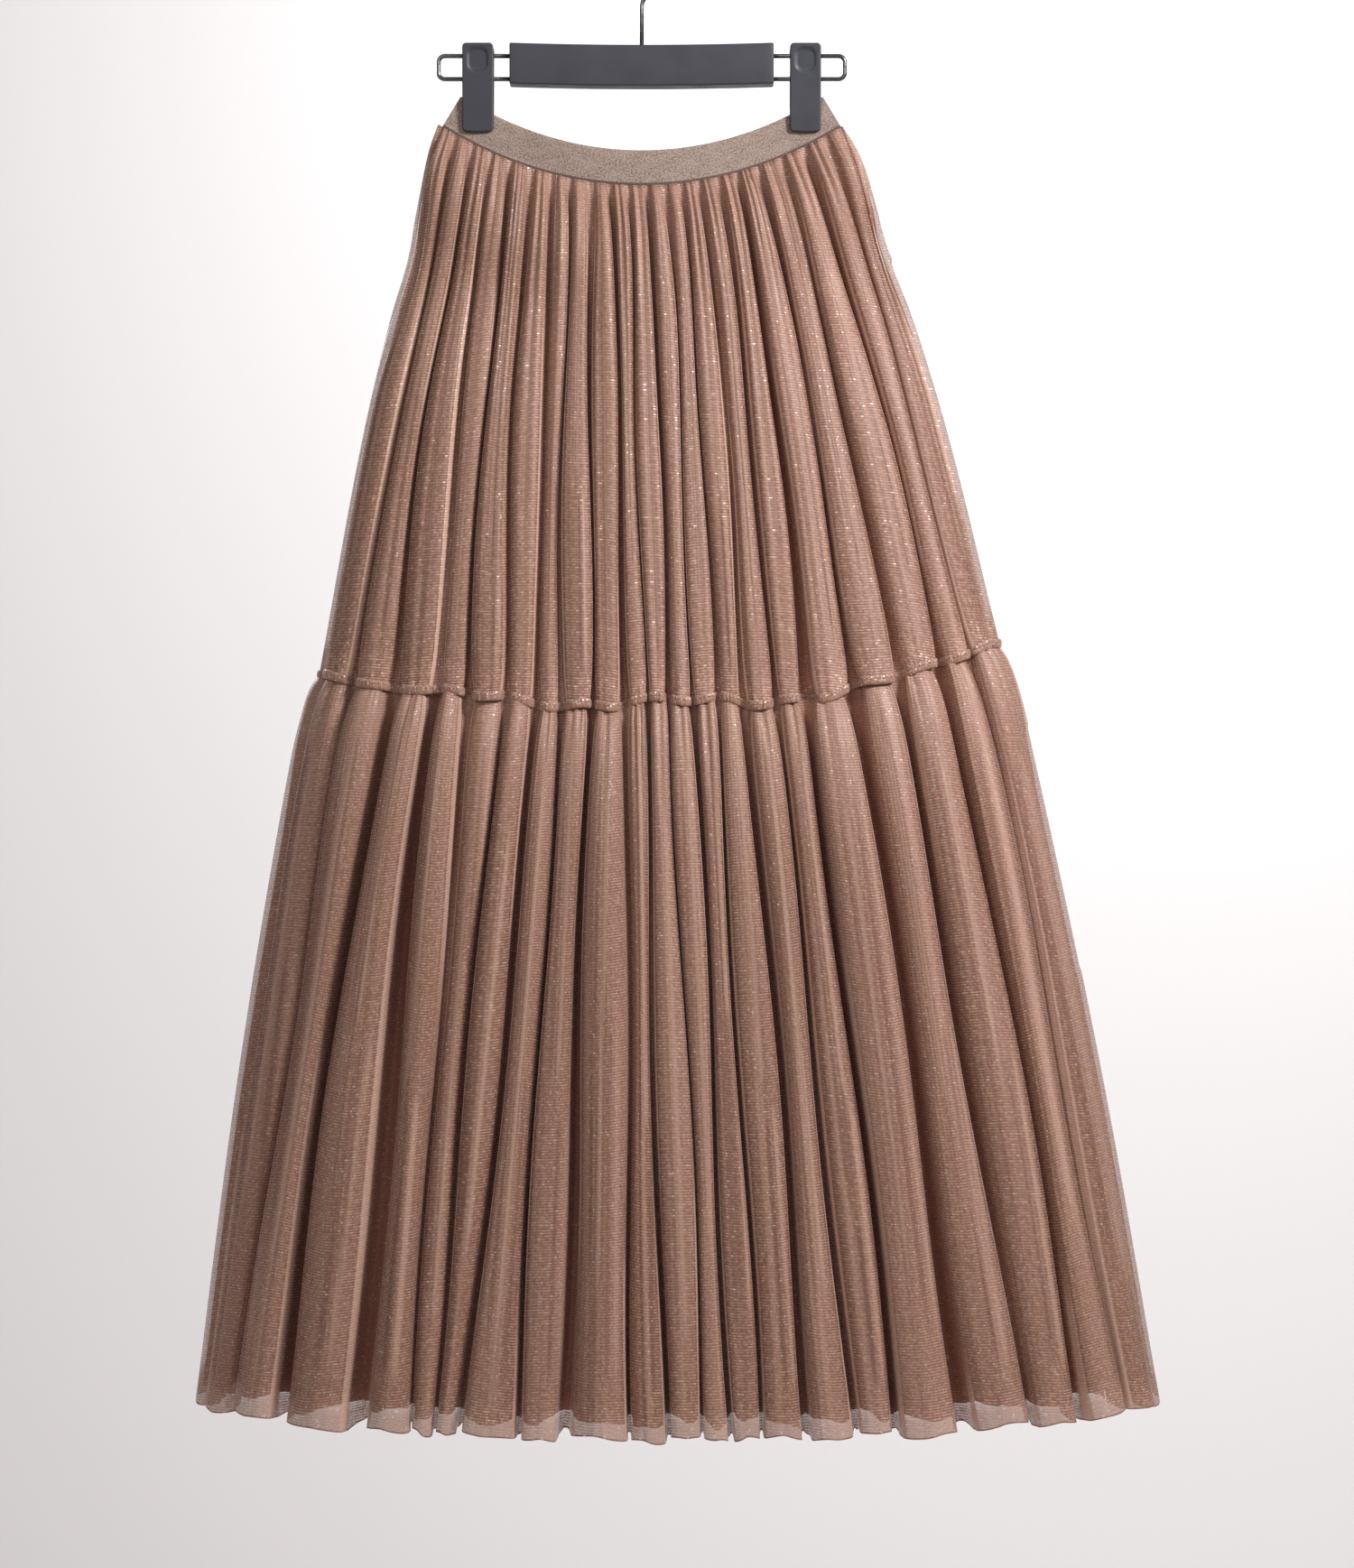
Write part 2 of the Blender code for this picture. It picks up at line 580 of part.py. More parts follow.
def filled_outline(name, points, half_depth, turn, place, collection):
    """A flat outline filled and thickened, as a closed mesh, turned and put in place."""
    curve = bpy.data.curves.new(name, "CURVE")
    curve.dimensions = "2D"
    curve.fill_mode = "BOTH"
    curve.extrude = half_depth
    spline = curve.splines.new("POLY")
    spline.points.add(len(points) - 1)
    for corner, (x, y) in zip(spline.points, points):
        corner.co = (x, y, 0.0, 1.0)
    spline.use_cyclic_u = True
    outline = bpy.data.objects.new(name, curve)
    bpy.context.scene.collection.objects.link(outline)
    bpy.context.view_layer.update()
    graph = bpy.context.evaluated_depsgraph_get()
    mesh = bpy.data.meshes.new_from_object(outline.evaluated_get(graph))
    bpy.data.objects.remove(outline)
    shape = bmesh.new()
    shape.from_mesh(mesh)
    bmesh.ops.remove_doubles(shape, verts=shape.verts, dist=1e-6)
    bmesh.ops.transform(shape, matrix=Matrix.Translation(place) @ turn, verts=shape.verts)
    bmesh.ops.recalc_face_normals(shape, faces=shape.faces)
    shape.to_mesh(mesh)
    shape.free()
    mesh.name = name
    mesh.shade_flat()
    made = bpy.data.objects.new(name, mesh)
    collection.objects.link(made)
    return made


def rounded_rectangle(width, height, radius, steps=4):
    points = []
    for turn, (cx, cy) in enumerate(((1, 1), (-1, 1), (-1, -1), (1, -1))):
        centre = (cx * (width / 2 - radius), cy * (height / 2 - radius))
        quarter = turn * math.pi / 2
        points += arc(*centre, radius, quarter, quarter + math.pi / 2, steps)
    return points


def build_jaw(name, facing, x, finish, collection, cutters):
    """One moulded jaw: its side outline, cut to a rounded front outline, with a thumb rest."""
    side_on = Matrix(((0, 0, 1, 0), (1, 0, 0, 0), (0, 1, 0, 0), (0, 0, 0, 1)))
    face_on = Matrix(((1, 0, 0, 0), (0, 0, -1, 0), (0, 1, 0, 0), (0, 0, 0, 1)))
    corners = [(facing * corner.away, -corner.down) for corner in JAW_OUTLINE]
    jaw = filled_outline(name, corners, CLIP_WIDTH, side_on, (x, 0, CLIP_TOP), collection)
    jaw.data.materials.append(finish)
    front = filled_outline(
        f"{name}_outline", rounded_rectangle(CLIP_WIDTH, CLIP_HEIGHT, CLIP_CORNER), BAR_DEPTH,
        face_on, (x, 0, CLIP_TOP - CLIP_HEIGHT / 2), cutters)
    cut_from(jaw, as_cutter(front), "INTERSECT")
    lean = facing * (JAW_TOP_REACH - JAW_FOOT_REACH) / CLIP_HEIGHT
    face = facing * JAW_TOP_REACH - lean * THUMB_DROP
    thumb = filled_outline(
        f"{name}_thumb", rounded_rectangle(THUMB_WIDTH, THUMB_HEIGHT, THUMB_CORNER), THUMB_DEPTH,
        Matrix.Rotation(-math.atan(lean), 4, "X") @ face_on, (x, face, CLIP_TOP - THUMB_DROP),
        cutters)
    cut_from(jaw, as_cutter(thumb))


def build_clip(side, way, plastic, steel, collection, cutters):
    """Two moulded jaws with a lug between the rails, and a coil spring that keeps them shut."""
    x = way * CLIP_X
    for jaw, facing in (("front", -1), ("back", 1)):
        build_jaw(f"clip_{side}_{jaw}", facing, x, plastic, collection, cutters)
    spring_z = CLIP_TOP - SPRING_DROP
    spring = cylinder(f"clip_{side}_spring", SPRING_RADIUS, SPRING_LENGTH, (x, 0, spring_z),
                      (1, 0, 0), collection)
    spring.data.materials.append(steel)


# ---- The whole object -----------------------------------------------------------------------------

def main():
    clear_scene()
    skirt = bpy.data.collections.new("tulle_maxi_skirt")
    cutters = bpy.data.collections.new("cutters")
    for made in (skirt, cutters):
        bpy.context.scene.collection.children.link(made)

    net = material("net", (0.36, 0.23, 0.18), 0.85)
    tape = material("net_seam", (0.34, 0.22, 0.17), 0.85)
    inner = material("inner_cloth", (0.20, 0.12, 0.09), 0.90)
    elastic = material("covered_elastic", (0.33, 0.25, 0.20), 0.90)
    plastic = material("hanger_plastic", (0.060, 0.062, 0.080), 0.45)
    steel = material("hanger_wire", (0.05, 0.05, 0.06), 0.35, 0.8)

    build_upper_tier(net, skirt)
    build_lower_tier(net, skirt)
    build_seam_tape(tape, skirt)
    build_inner_layer(inner, skirt)
    build_waistband(elastic, skirt)
    build_hook(steel, skirt)
    build_rails(steel, skirt)
    build_bar(plastic, skirt, cutters)
    for side, way in (("left", -1), ("right", 1)):
        build_clip(side, way, plastic, steel, skirt, cutters)


main()
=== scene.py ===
"""The looks of a two-tier gathered tulle maxi skirt that hangs from a clip hanger.

Metres, +Z up, with the origin under the top of the hanger's hook. The front faces -Y, and left and
right are those of someone who looks at it. A ring of cloth runs from the left side (position 0)
across the front to the right side (0.5) and across the back to the left side again (1).
"""

import math
from collections import namedtuple

import bpy
import numpy as np
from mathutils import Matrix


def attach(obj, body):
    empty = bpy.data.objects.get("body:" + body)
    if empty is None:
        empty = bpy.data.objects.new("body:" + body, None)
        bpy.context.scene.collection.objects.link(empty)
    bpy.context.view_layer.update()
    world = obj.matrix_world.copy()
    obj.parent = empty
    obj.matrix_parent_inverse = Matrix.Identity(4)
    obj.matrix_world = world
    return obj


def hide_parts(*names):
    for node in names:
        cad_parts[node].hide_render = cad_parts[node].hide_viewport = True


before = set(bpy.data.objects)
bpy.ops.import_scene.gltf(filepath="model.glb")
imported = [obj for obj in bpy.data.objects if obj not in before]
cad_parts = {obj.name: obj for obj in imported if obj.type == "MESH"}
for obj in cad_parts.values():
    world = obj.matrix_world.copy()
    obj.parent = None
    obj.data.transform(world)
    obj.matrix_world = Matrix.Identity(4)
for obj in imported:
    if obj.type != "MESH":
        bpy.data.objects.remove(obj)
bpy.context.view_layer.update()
scene = bpy.context.scene

# ---- Stage, light and camera ------------------------------------------------------------------------
# A pale floor and a pale backdrop, a soft light from the upper right, weaker ones from the front and
# from behind, and a level camera where the photograph was taken.

FLOOR_Z, BACKDROP_Y, BACKDROP_TOP, STAGE_HALF = -2.7, 7.0, 8.0, 14.0
CAMERA_PLACE = (0.0254, -2.8, -0.617)
LENS_MM, SENSOR_MM = 89.3, 36.0
SKIRT_MIDDLE = np.array([0.0, 0.0, -0.62])
BACKDROP_MIDDLE = np.array([0.8, BACKDROP_Y, -1.2])


def stage_sheet(name, corners, finish):
    mesh = bpy.data.meshes.new(name)
    mesh.from_pydata(corners, [], [(0, 1, 2, 3)])
    mesh.materials.append(finish)
    made = bpy.data.objects.new(name, mesh)
    scene.collection.objects.link(made)


def soft_light(name, place, size, watts, colour, target):
    lamp = bpy.data.lights.new(name, "AREA")
    lamp.shape = "DISK"
    lamp.size = size
    lamp.energy = watts
    lamp.color = colour
    made = bpy.data.objects.new(name, lamp)
    made.location = place
    towards = target - np.array(place)
    made.rotation_euler = (math.acos(-towards[2] / np.linalg.norm(towards)), 0.0,
                           math.atan2(towards[1], towards[0]) - math.pi / 2)
    scene.collection.objects.link(made)


paper = bpy.data.materials.new("backdrop_paper")
paper.use_nodes = True
paper_shader = paper.node_tree.nodes["Principled BSDF"]
paper_shader.inputs["Base Color"].default_value = (0.80, 0.785, 0.785, 1.0)
paper_shader.inputs["Roughness"].default_value = 0.95
near_edge, far_edge, top_edge = (
    [(-STAGE_HALF, y, z), (STAGE_HALF, y, z)]
    for y, z in ((-STAGE_HALF, FLOOR_Z), (BACKDROP_Y, FLOOR_Z), (BACKDROP_Y, BACKDROP_TOP)))
stage_sheet("floor", near_edge + far_edge[::-1], paper)
stage_sheet("backdrop", far_edge + top_edge[::-1], paper)
soft_light("key_light", (1.05, -1.0, 0.45), 0.45, 32.5, (1.0, 0.985, 0.985), SKIRT_MIDDLE)
soft_light("fill_light", (-0.9, -2.4, 0.5), 0.9, 9.5, (1.0, 0.96, 0.92), SKIRT_MIDDLE)
soft_light("back_light", (-1.3, 2.3, 0.5), 0.9, 30.0, (1.0, 0.98, 0.96), SKIRT_MIDDLE)
soft_light("backdrop_light", (1.5, 3.6, 2.6), 2.4, 262.0, (1.0, 0.99, 1.0), BACKDROP_MIDDLE)

world = bpy.data.worlds.new("studio_air")
world.use_nodes = True
air = world.node_tree.nodes["Background"].inputs
air["Color"].default_value = (0.98, 0.93, 0.90, 1.0)
air["Strength"].default_value = 0.34
scene.world = world
scene.view_settings.view_transform = "Standard"
scene.cycles.transparent_max_bounces = 8
scene.cycles.max_bounces = 3

camera = bpy.data.objects.new("camera", bpy.data.cameras.new("camera"))
camera.data.lens = LENS_MM
camera.data.sensor_width = SENSOR_MM
camera.location = CAMERA_PLACE
camera.rotation_euler = (math.pi / 2, 0.0, 0.0)
scene.collection.objects.link(camera)
scene.camera = camera

# ---- Hanger wires -----------------------------------------------------------------------------------
# One round steel wire of about 3 mm makes the hook, and a hairpin of the same wire stands out of each
# end of the bar. It is dark and polished, with a fine grain.

WIRE_RADIUS, RIM_REACH, RIM_SHARE = 0.0016, 0.25, 0.75
HOOK_RADIUS, HOOK_LEAN = 0.0222, math.radians(42)
HOOK_BEND_RADIUS, HOOK_END, STEM_LENGTH = 0.0100, math.radians(205), 0.0286
RAIL_DROP, RAIL_SPACING, WIRE_END_X, WIRE_CORNER = 0.0068, 0.0166, 0.1462, 0.0045
SOCKET_DEPTH = 0.012
BAR_LENGTH = 0.190
HOOK_MIDDLE_Z = WIRE_RADIUS - HOOK_RADIUS
CORNER_Z = HOOK_MIDDLE_Z - HOOK_RADIUS / math.sin(HOOK_LEAN)
BEND_Z = CORNER_Z - HOOK_BEND_RADIUS * math.tan(HOOK_LEAN / 2)
BAR_TOP = BEND_Z - STEM_LENGTH
RAIL_TOP_Z = BAR_TOP - RAIL_DROP
RAIL_LOW_Z = RAIL_TOP_Z - RAIL_SPACING


class Finish:
    """A material in the making: its node tree, its shader and the colour laid on so far."""

    def __init__(self, name):
        self.material = bpy.data.materials.new(name)
        self.material.use_nodes = True
        self.tree = self.material.node_tree
        self.shader = self.tree.nodes["Principled BSDF"]
        self.colour = None

    def node(self, kind, inputs, **settings):
        """A node with its settings, and its inputs given as plain values or as outputs to link."""
        made = self.tree.nodes.new(kind)
        for name, value in settings.items():
            setattr(made, name, value)
        for name, value in inputs.items():
            self.feed(made.inputs[name], value)
        return made

    def feed(self, socket, value):
        if isinstance(value, bpy.types.NodeSocket):
            self.tree.links.new(value, socket)
        else:
            socket.default_value = value

    def maths(self, kind, *values):
        return self.node("ShaderNodeMath", dict(enumerate(values)), operation=kind).outputs[0]

    def times(self, first, second):
        return self.maths("MULTIPLY", first, second)

    def scaled(self, value, factor, added):
        """value * factor + added"""
        return self.maths("MULTIPLY_ADD", value, factor, added)

    def wave(self, distance, length=1.0):
        """A sine along a distance, with one whole wave for each length."""
        return self.maths("SINE", self.times(distance, 2 * math.pi / length))

    def fade(self, value, low, high, to_low=0.0, to_high=1.0):
        """The value carried smoothly from one range to another, and held at its ends."""
        return self.node("ShaderNodeMapRange",
                         {"Value": value, "From Min": low, "From Max": high, "To Min": to_low,
                          "To Max": to_high}, interpolation_type="SMOOTHSTEP").outputs[0]

    def noise(self, place, scale, detail=2.0, roughness=0.5, dimensions="3D"):
        """Cloudy noise at a place, as fine as the scale, which may have one factor for each axis."""
        if not isinstance(scale, float):
            place = self.node("ShaderNodeMapping", {"Vector": place, "Scale": scale}).outputs[0]
            scale = 1.0
        return self.node("ShaderNodeTexNoise",
                         {"Vector": place, "Scale": scale, "Detail": detail, "Roughness": roughness},
                         noise_dimensions=dimensions).outputs["Fac"]

    def parts(self, vector):
        """The three numbers of a place or a colour."""
        return self.node("ShaderNodeSeparateXYZ", {"Vector": vector}).outputs[:]

    def own_place(self):
        """The piece's own coordinates in metres."""
        return self.node("ShaderNodeTexCoord", {}).outputs["Object"]

    def coat(self, share, colour, below=None):
        """Lays a colour, as thickly as the share says, on the one below or on all laid so far."""
        below = (*below, 1.0) if below else self.colour
        self.colour = self.node("ShaderNodeMix", {"Factor": share, 6: below, 7: (*colour, 1.0)},
                                data_type="RGBA").outputs[2]

    def surface(self, **looks):
        """Ends the finish with its colour and its other looks, by the names of the shader's sockets."""
        self.feed(self.shader.inputs["Base Color"], self.colour)
        for name, value in looks.items():
            self.feed(self.shader.inputs[name.replace("_", " ").title()], value)

    def bumps(self, height, strength, distance):
        sizes = {"Height": height, "Strength": strength, "Distance": distance}
        return self.node("ShaderNodeBump", sizes).outputs[0]


def drawn_steel():
    """Dark polished wire: near-black metal, a little paler where it is worn, with a fine grain."""
    steel = Finish("dark_drawn_steel")
    place = steel.own_place()
    grain = steel.noise(place, 900.0, 3.0)
    wear = steel.noise(place, 60.0)
    steel.coat(wear, (0.21, 0.205, 0.21), below=(0.10, 0.10, 0.115))
    steel.surface(metallic=1.0, roughness=steel.fade(grain, 0.3, 0.7, 0.18, 0.34))
    return steel.material


def skin_piece(name, points, finish, node=None, closed=True):
    """A piece over a grid of points, [down, across, xyz]. Faces turn outwards where across runs to the
    right and down runs down, seen from outside. A closed piece joins its last column to its first and
    has caps over its first and last rows. It rides on the one body, and most stand for a CAD node."""
    rows, columns = points.shape[:2]
    index = np.arange(rows * columns).reshape(rows, columns)
    if closed:
        index = np.concatenate([index, index[:, :1]], axis=1)
    corners = (index[:-1, :-1], index[1:, :-1], index[1:, 1:], index[:-1, 1:])
    faces = np.stack(corners, axis=-1).reshape(-1, 4).tolist()
    if closed:
        faces += [index[0, :-1].tolist(), index[-1, :-1][::-1].tolist()]
    mesh = bpy.data.meshes.new(name)
    mesh.from_pydata(points.reshape(-1, 3).tolist(), [], faces)
    mesh.shade_smooth()
    mesh.materials.append(finish)
    made = bpy.data.objects.new(name, mesh)
    scene.collection.objects.link(made)
    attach(made, "root")
    if node:
        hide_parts(node)
    return made


def tube_points(path, aside, radius, sides):
    """Rings carried along a path: path + radius * (cos t * aside + sin t * (aside x tangent)), with one
    smaller ring at each end for a rounded rim. aside is a unit vector square to the path."""
    tangent = np.gradient(path, axis=0)
    tangent /= np.linalg.norm(tangent, axis=1)[:, None]
    up = np.cross(tangent, aside)
    t = np.linspace(0, 2 * math.pi, sides, endpoint=False)
    ring = (np.cos(t)[None, :, None] * aside[:, None] + np.sin(t)[None, :, None] * up[:, None])
    rim = RIM_REACH * radius
    path = np.concatenate([path[:1] - rim * tangent[:1], path, path[-1:] + rim * tangent[-1:]])
    ring = np.concatenate([ring[:1] * RIM_SHARE, ring, ring[-1:] * RIM_SHARE])
    return path[:, None] + radius * ring


def arc(centre_x, centre_z, radius, start, end, steps):
    angle = np.linspace(start, end, steps + 1)
    return np.column_stack([centre_x + radius * np.cos(angle), centre_z + radius * np.sin(angle)])


def flat_wire(name, node, line):
    """A wire along a line of x and z in the hanger's plane."""
    path = np.column_stack([line[:, 0], np.zeros(len(line)), line[:, 1]])
    aside = np.tile([0.0, -1.0, 0.0], (len(path), 1))
    skin_piece(name, tube_points(path, aside, WIRE_RADIUS, 24), steel, node)


def rail_line(way):
    inner_x = BAR_LENGTH / 2 - SOCKET_DEPTH
    corner_x = WIRE_END_X - WIRE_CORNER
    line = np.concatenate([
        [(inner_x, RAIL_TOP_Z)],
        arc(corner_x, RAIL_TOP_Z - WIRE_CORNER, WIRE_CORNER, math.pi / 2, 0, 10),
        arc(corner_x, RAIL_LOW_Z + WIRE_CORNER, WIRE_CORNER, 0, -math.pi / 2, 10),
        [(inner_x, RAIL_LOW_Z)]])
    return line * (way, 1)


steel = drawn_steel()
hook_line = np.concatenate([
    [(0.0, BAR_TOP - SOCKET_DEPTH)],
    arc(HOOK_BEND_RADIUS, BEND_Z, HOOK_BEND_RADIUS, math.pi, math.pi - HOOK_LEAN, 10),
    arc(0.0, HOOK_MIDDLE_Z, HOOK_RADIUS, -HOOK_LEAN, HOOK_END, 48)])
flat_wire("hook_wire", "hanger_hook", hook_line)
for side, way in (("left", -1), ("right", 1)):
    flat_wire(f"rail_wire_{side}", f"hanger_rails_{side}", rail_line(way))

# ---- Hanger bar -------------------------------------------------------------------------------------
# A moulded bar of charcoal plastic with a fine matt skin, slightly bowed, its ends a little higher than
# its middle. The stem of the hook comes out of a low collar on its top edge.

BAR_DEPTH, BAR_HEIGHT, BAR_SAG, BAR_ROUND, BAR_STEPS = 0.017, 0.0295, 0.0016, 0.0013, 40
COLLAR_RADIUS, COLLAR_HEIGHT, COLLAR_SINK = 0.0042, 0.0010, 0.0002


def moulded_plastic():
    """Charcoal plastic: a faint mottle, a fine pebbled skin, paler rubbed patches and long scratches."""
    moulded = Finish("charcoal_plastic")
    place = moulded.own_place()
    mottle = moulded.noise(place, 45.0, 4.0)
    pebble = moulded.noise(place, 1600.0)
    scratch = moulded.noise(place, (25.0, 400.0, 900.0), 3.0, 0.7)
    moulded.coat(mottle, (0.042, 0.044, 0.058), below=(0.028, 0.030, 0.041))
    moulded.coat(moulded.times(moulded.fade(scratch, 0.68, 0.80), 0.35), (0.13, 0.13, 0.15))
    moulded.surface(roughness=moulded.fade(mottle, 0.3, 0.7, 0.44, 0.60),
                    normal=moulded.bumps(pebble, 0.12, 0.0004))
    return moulded.material


def bar_points():
    """A rounded rectangle carried along x. Its corners are quarter circles, its ends shrink by a
    quarter circle too, and its height follows a shallow arch: z = top + sag * (2 x / length)^2."""
    corner = np.linspace(0, math.pi / 2, 6)
    half_y, half_z = BAR_DEPTH / 2 - BAR_ROUND, BAR_HEIGHT / 2 - BAR_ROUND
    turns = np.concatenate([corner + k * math.pi / 2 for k in range(4)])
    signs = np.repeat([(1, 1), (-1, 1), (-1, -1), (1, -1)], len(corner), axis=0)
    end_x = BAR_LENGTH / 2 - BAR_ROUND * (1 - np.sin(corner))
    shrink_end = BAR_ROUND * (1 - np.cos(corner))
    middle = np.linspace(-1, 1, BAR_STEPS + 1)[1:-1] * (BAR_LENGTH / 2 - BAR_ROUND)
    x = np.concatenate([-end_x[::-1], middle, end_x])
    shrink = np.concatenate([shrink_end[::-1], np.zeros(len(middle)), shrink_end])[:, None]
    y = signs[:, 0] * half_y + (BAR_ROUND - shrink) * np.cos(turns)
    z = signs[:, 1] * half_z + (BAR_ROUND - shrink) * np.sin(turns)
    z = z + BAR_TOP - BAR_HEIGHT / 2 + BAR_SAG * (2 * x[:, None] / BAR_LENGTH) ** 2
    return np.stack([np.broadcast_to(x[:, None], y.shape), y, z], axis=-1)


plastic = moulded_plastic()
skin_piece("moulded_bar", bar_points()[:, ::-1], plastic, "hanger_bar")

collar_heights = np.array([0.0, 0.3, 0.8, 1.0, 1.0]) * COLLAR_HEIGHT + BAR_TOP - COLLAR_SINK
collar_radii = np.array([1.0, 0.97, 0.85, 0.65, 0.42]) * COLLAR_RADIUS
round_about = np.linspace(0, 2 * math.pi, 32, endpoint=False)
collar_grid = np.stack(np.broadcast_arrays(
    collar_radii[:, None] * np.cos(round_about), collar_radii[:, None] * np.sin(round_about),
    collar_heights[:, None]), axis=-1)
skin_piece("stem_collar", collar_grid[::-1], plastic)

# ---- Clips ------------------------------------------------------------------------------------------
# Each clip is two moulded jaws that slide on the rails, pushed together at the foot by a coil spring
# between them. A hollow for the thumb is pressed into the top of each jaw's face.

CLIP_X, CLIP_WIDTH, CLIP_HEIGHT, CLIP_CORNER = 0.1177, 0.0224, 0.0631, 0.0030
CLIP_TOP = BAR_TOP + 0.0013
CLIP_FOOT_BULGE = 0.0006
JAW_ROUND = 0.0011
JAW_TOP_REACH, JAW_FOOT_REACH = 0.0095, 0.0055
THUMB_WIDTH, THUMB_HEIGHT, THUMB_DEPTH, THUMB_DROP = 0.0152, 0.0170, 0.0011, 0.0118
THUMB_CORNER, THUMB_SOFT = 0.0055, 0.0012
RAIL_REACH = WIRE_RADIUS + 0.0003
JAW_FACE = 0.00265
# One row for each corner of a jaw's inner side: how far down it is and how far from the hanger's plane.
JawStep = namedtuple("JawStep", "down away")
JAW_INSIDE = (
    JawStep(0.0, 0.0070),
    JawStep(CLIP_TOP - RAIL_TOP_Z + RAIL_REACH - 0.0001, 0.0058),
    JawStep(CLIP_TOP - RAIL_TOP_Z + RAIL_REACH, 0.00015),
    JawStep(CLIP_TOP - RAIL_LOW_Z - RAIL_REACH, 0.00015),
    JawStep(CLIP_TOP - RAIL_LOW_Z - RAIL_REACH + 0.0001, 0.0050),
    JawStep(CLIP_HEIGHT - 0.0240, 0.0045),
    JawStep(CLIP_HEIGHT - 0.0160, JAW_FACE),
    JawStep(CLIP_HEIGHT, JAW_FACE),
)
SPRING_RADIUS, SPRING_WIRE, SPRING_LENGTH, SPRING_DROP, SPRING_TURNS = 0.0038, 0.0004, 0.0125, 0.0346, 9


def jaw_points(facing):
    """Level rings round a jaw, from its top to its foot, each across the face and back along the inner
    side. Its half width shrinks by quarter circles at the corners, its edges are quarter circles too,
    and the thumb hollow is a rounded rectangle sunk by a smooth step."""
    soft = CLIP_CORNER * (1 - np.cos(np.linspace(0, math.pi / 2, 7)))
    steps = [step.down for step in JAW_INSIDE]
    down = np.unique(np.round(np.concatenate([
        soft, CLIP_HEIGHT - soft, steps, np.linspace(CLIP_CORNER, CLIP_HEIGHT - CLIP_CORNER, 46)]), 6))
    near_end = np.minimum(down, CLIP_HEIGHT - down)
    bend = np.clip(1 - near_end / CLIP_CORNER, 0, 1)
    half = CLIP_WIDTH / 2 - CLIP_CORNER * (1 - np.sqrt(1 - bend ** 2)) * 0.999
    across = np.sin(np.linspace(-math.pi / 2, math.pi / 2, 33))
    x = half[:, None] * across
    edge = np.clip((np.abs(x) - (half[:, None] - JAW_ROUND)) / JAW_ROUND, 0, 1)
    end_edge = np.clip(1 - near_end / JAW_ROUND, 0, 1)[:, None]
    rounding = JAW_ROUND * (1 - np.sqrt(np.clip(1 - np.maximum(edge, end_edge) ** 2, 0, 1)))
    face = (JAW_TOP_REACH + (JAW_FOOT_REACH - JAW_TOP_REACH) * down / CLIP_HEIGHT)[:, None]
    inside = np.interp(down, steps, [step.away for step in JAW_INSIDE])[:, None]
    reach_x = np.abs(x) - (THUMB_WIDTH / 2 - THUMB_CORNER)
    reach_z = np.abs(down[:, None] - THUMB_DROP) - (THUMB_HEIGHT / 2 - THUMB_CORNER)
    outside = np.hypot(np.maximum(reach_x, 0), np.maximum(reach_z, 0)) - THUMB_CORNER
    sunk = np.clip(-outside / THUMB_SOFT, 0, 1)
    outer = face - rounding - THUMB_DEPTH * sunk ** 2 * (3 - 2 * sunk)
    inner = inside + np.minimum(rounding, np.maximum(0.45 * (face - inside), 0))
    bulge = CLIP_FOOT_BULGE * (1 - across ** 2) * (down[:, None] / CLIP_HEIGHT) ** 8
    z = CLIP_TOP - down[:, None] - bulge
    front = np.stack([x, facing * outer, z], axis=-1)
    back = np.stack([x, facing * inner, z], axis=-1)[:, ::-1]
    ring = np.concatenate([front, back], axis=1)
    return ring if facing < 0 else ring[:, ::-1]


def spring_points():
    """A helix along x with its wire as a tube: y and z are the radius times the cosine and sine of the
    turn, and the wire's own circle is carried along it."""
    turn = np.linspace(0, 2 * math.pi * SPRING_TURNS, 24 * SPRING_TURNS + 1)
    out = np.column_stack([np.zeros_like(turn), np.cos(turn), np.sin(turn)])
    along = np.linspace(-0.5, 0.5, len(turn)) * SPRING_LENGTH
    path = SPRING_RADIUS * out + np.column_stack([along, 0 * turn, 0 * turn])
    return tube_points(path, out, SPRING_WIRE, 8)


for side, way in (("left", -1), ("right", 1)):
    for jaw, facing in (("front", -1), ("back", 1)):
        skin_piece(f"jaw_{side}_{jaw}", jaw_points(facing) + (way * CLIP_X, 0, 0), plastic,
                   f"clip_{side}_{jaw}")
    skin_piece(f"coil_spring_{side}", spring_points() + (way * CLIP_X, 0, CLIP_TOP - SPRING_DROP),
               steel, f"clip_{side}_spring")

# ---- Inner layer ------------------------------------------------------------------------------------
# A plain woven layer, darker than the net. It is sewn into the waist seam with it, hangs free inside
# the folds in soft waves, and ends a little above the hem in a narrow turned edge.

NET_WALL, SEAM_GAP = 0.0012, 0.0003
WAIST_Z, WAIST_SAG = BAR_TOP - 0.1019, 2.08
SEAM_Z, SEAM_RISE_LEFT, SEAM_RISE_RIGHT, SEAM_POWER = BAR_TOP - 0.4737, 0.0215, 0.0440, 2.6
SEAM_STEP, SEAM_RIPPLE = 0.0026, 0.0018
HEM_Z, HEM_RISE = BAR_TOP - 0.9842, 0.0105
INNER_HEM_RISE, INNER_HALF_GAP, SIDE_INSET = 0.014, 0.0016, 1.6
INNER_WAVES, INNER_COLUMNS, INNER_ROWS, INNER_ROUND = 12, 110, 60, 1.42
WARP_SPACING, WEFT_SPACING = 0.0009, 0.0008
CLIP_SHARE, MOST_SPREAD = 0.78, 1.3
SAMPLES = 361
SAMPLE_SHARES = -np.cos(np.linspace(0, math.pi, SAMPLES))

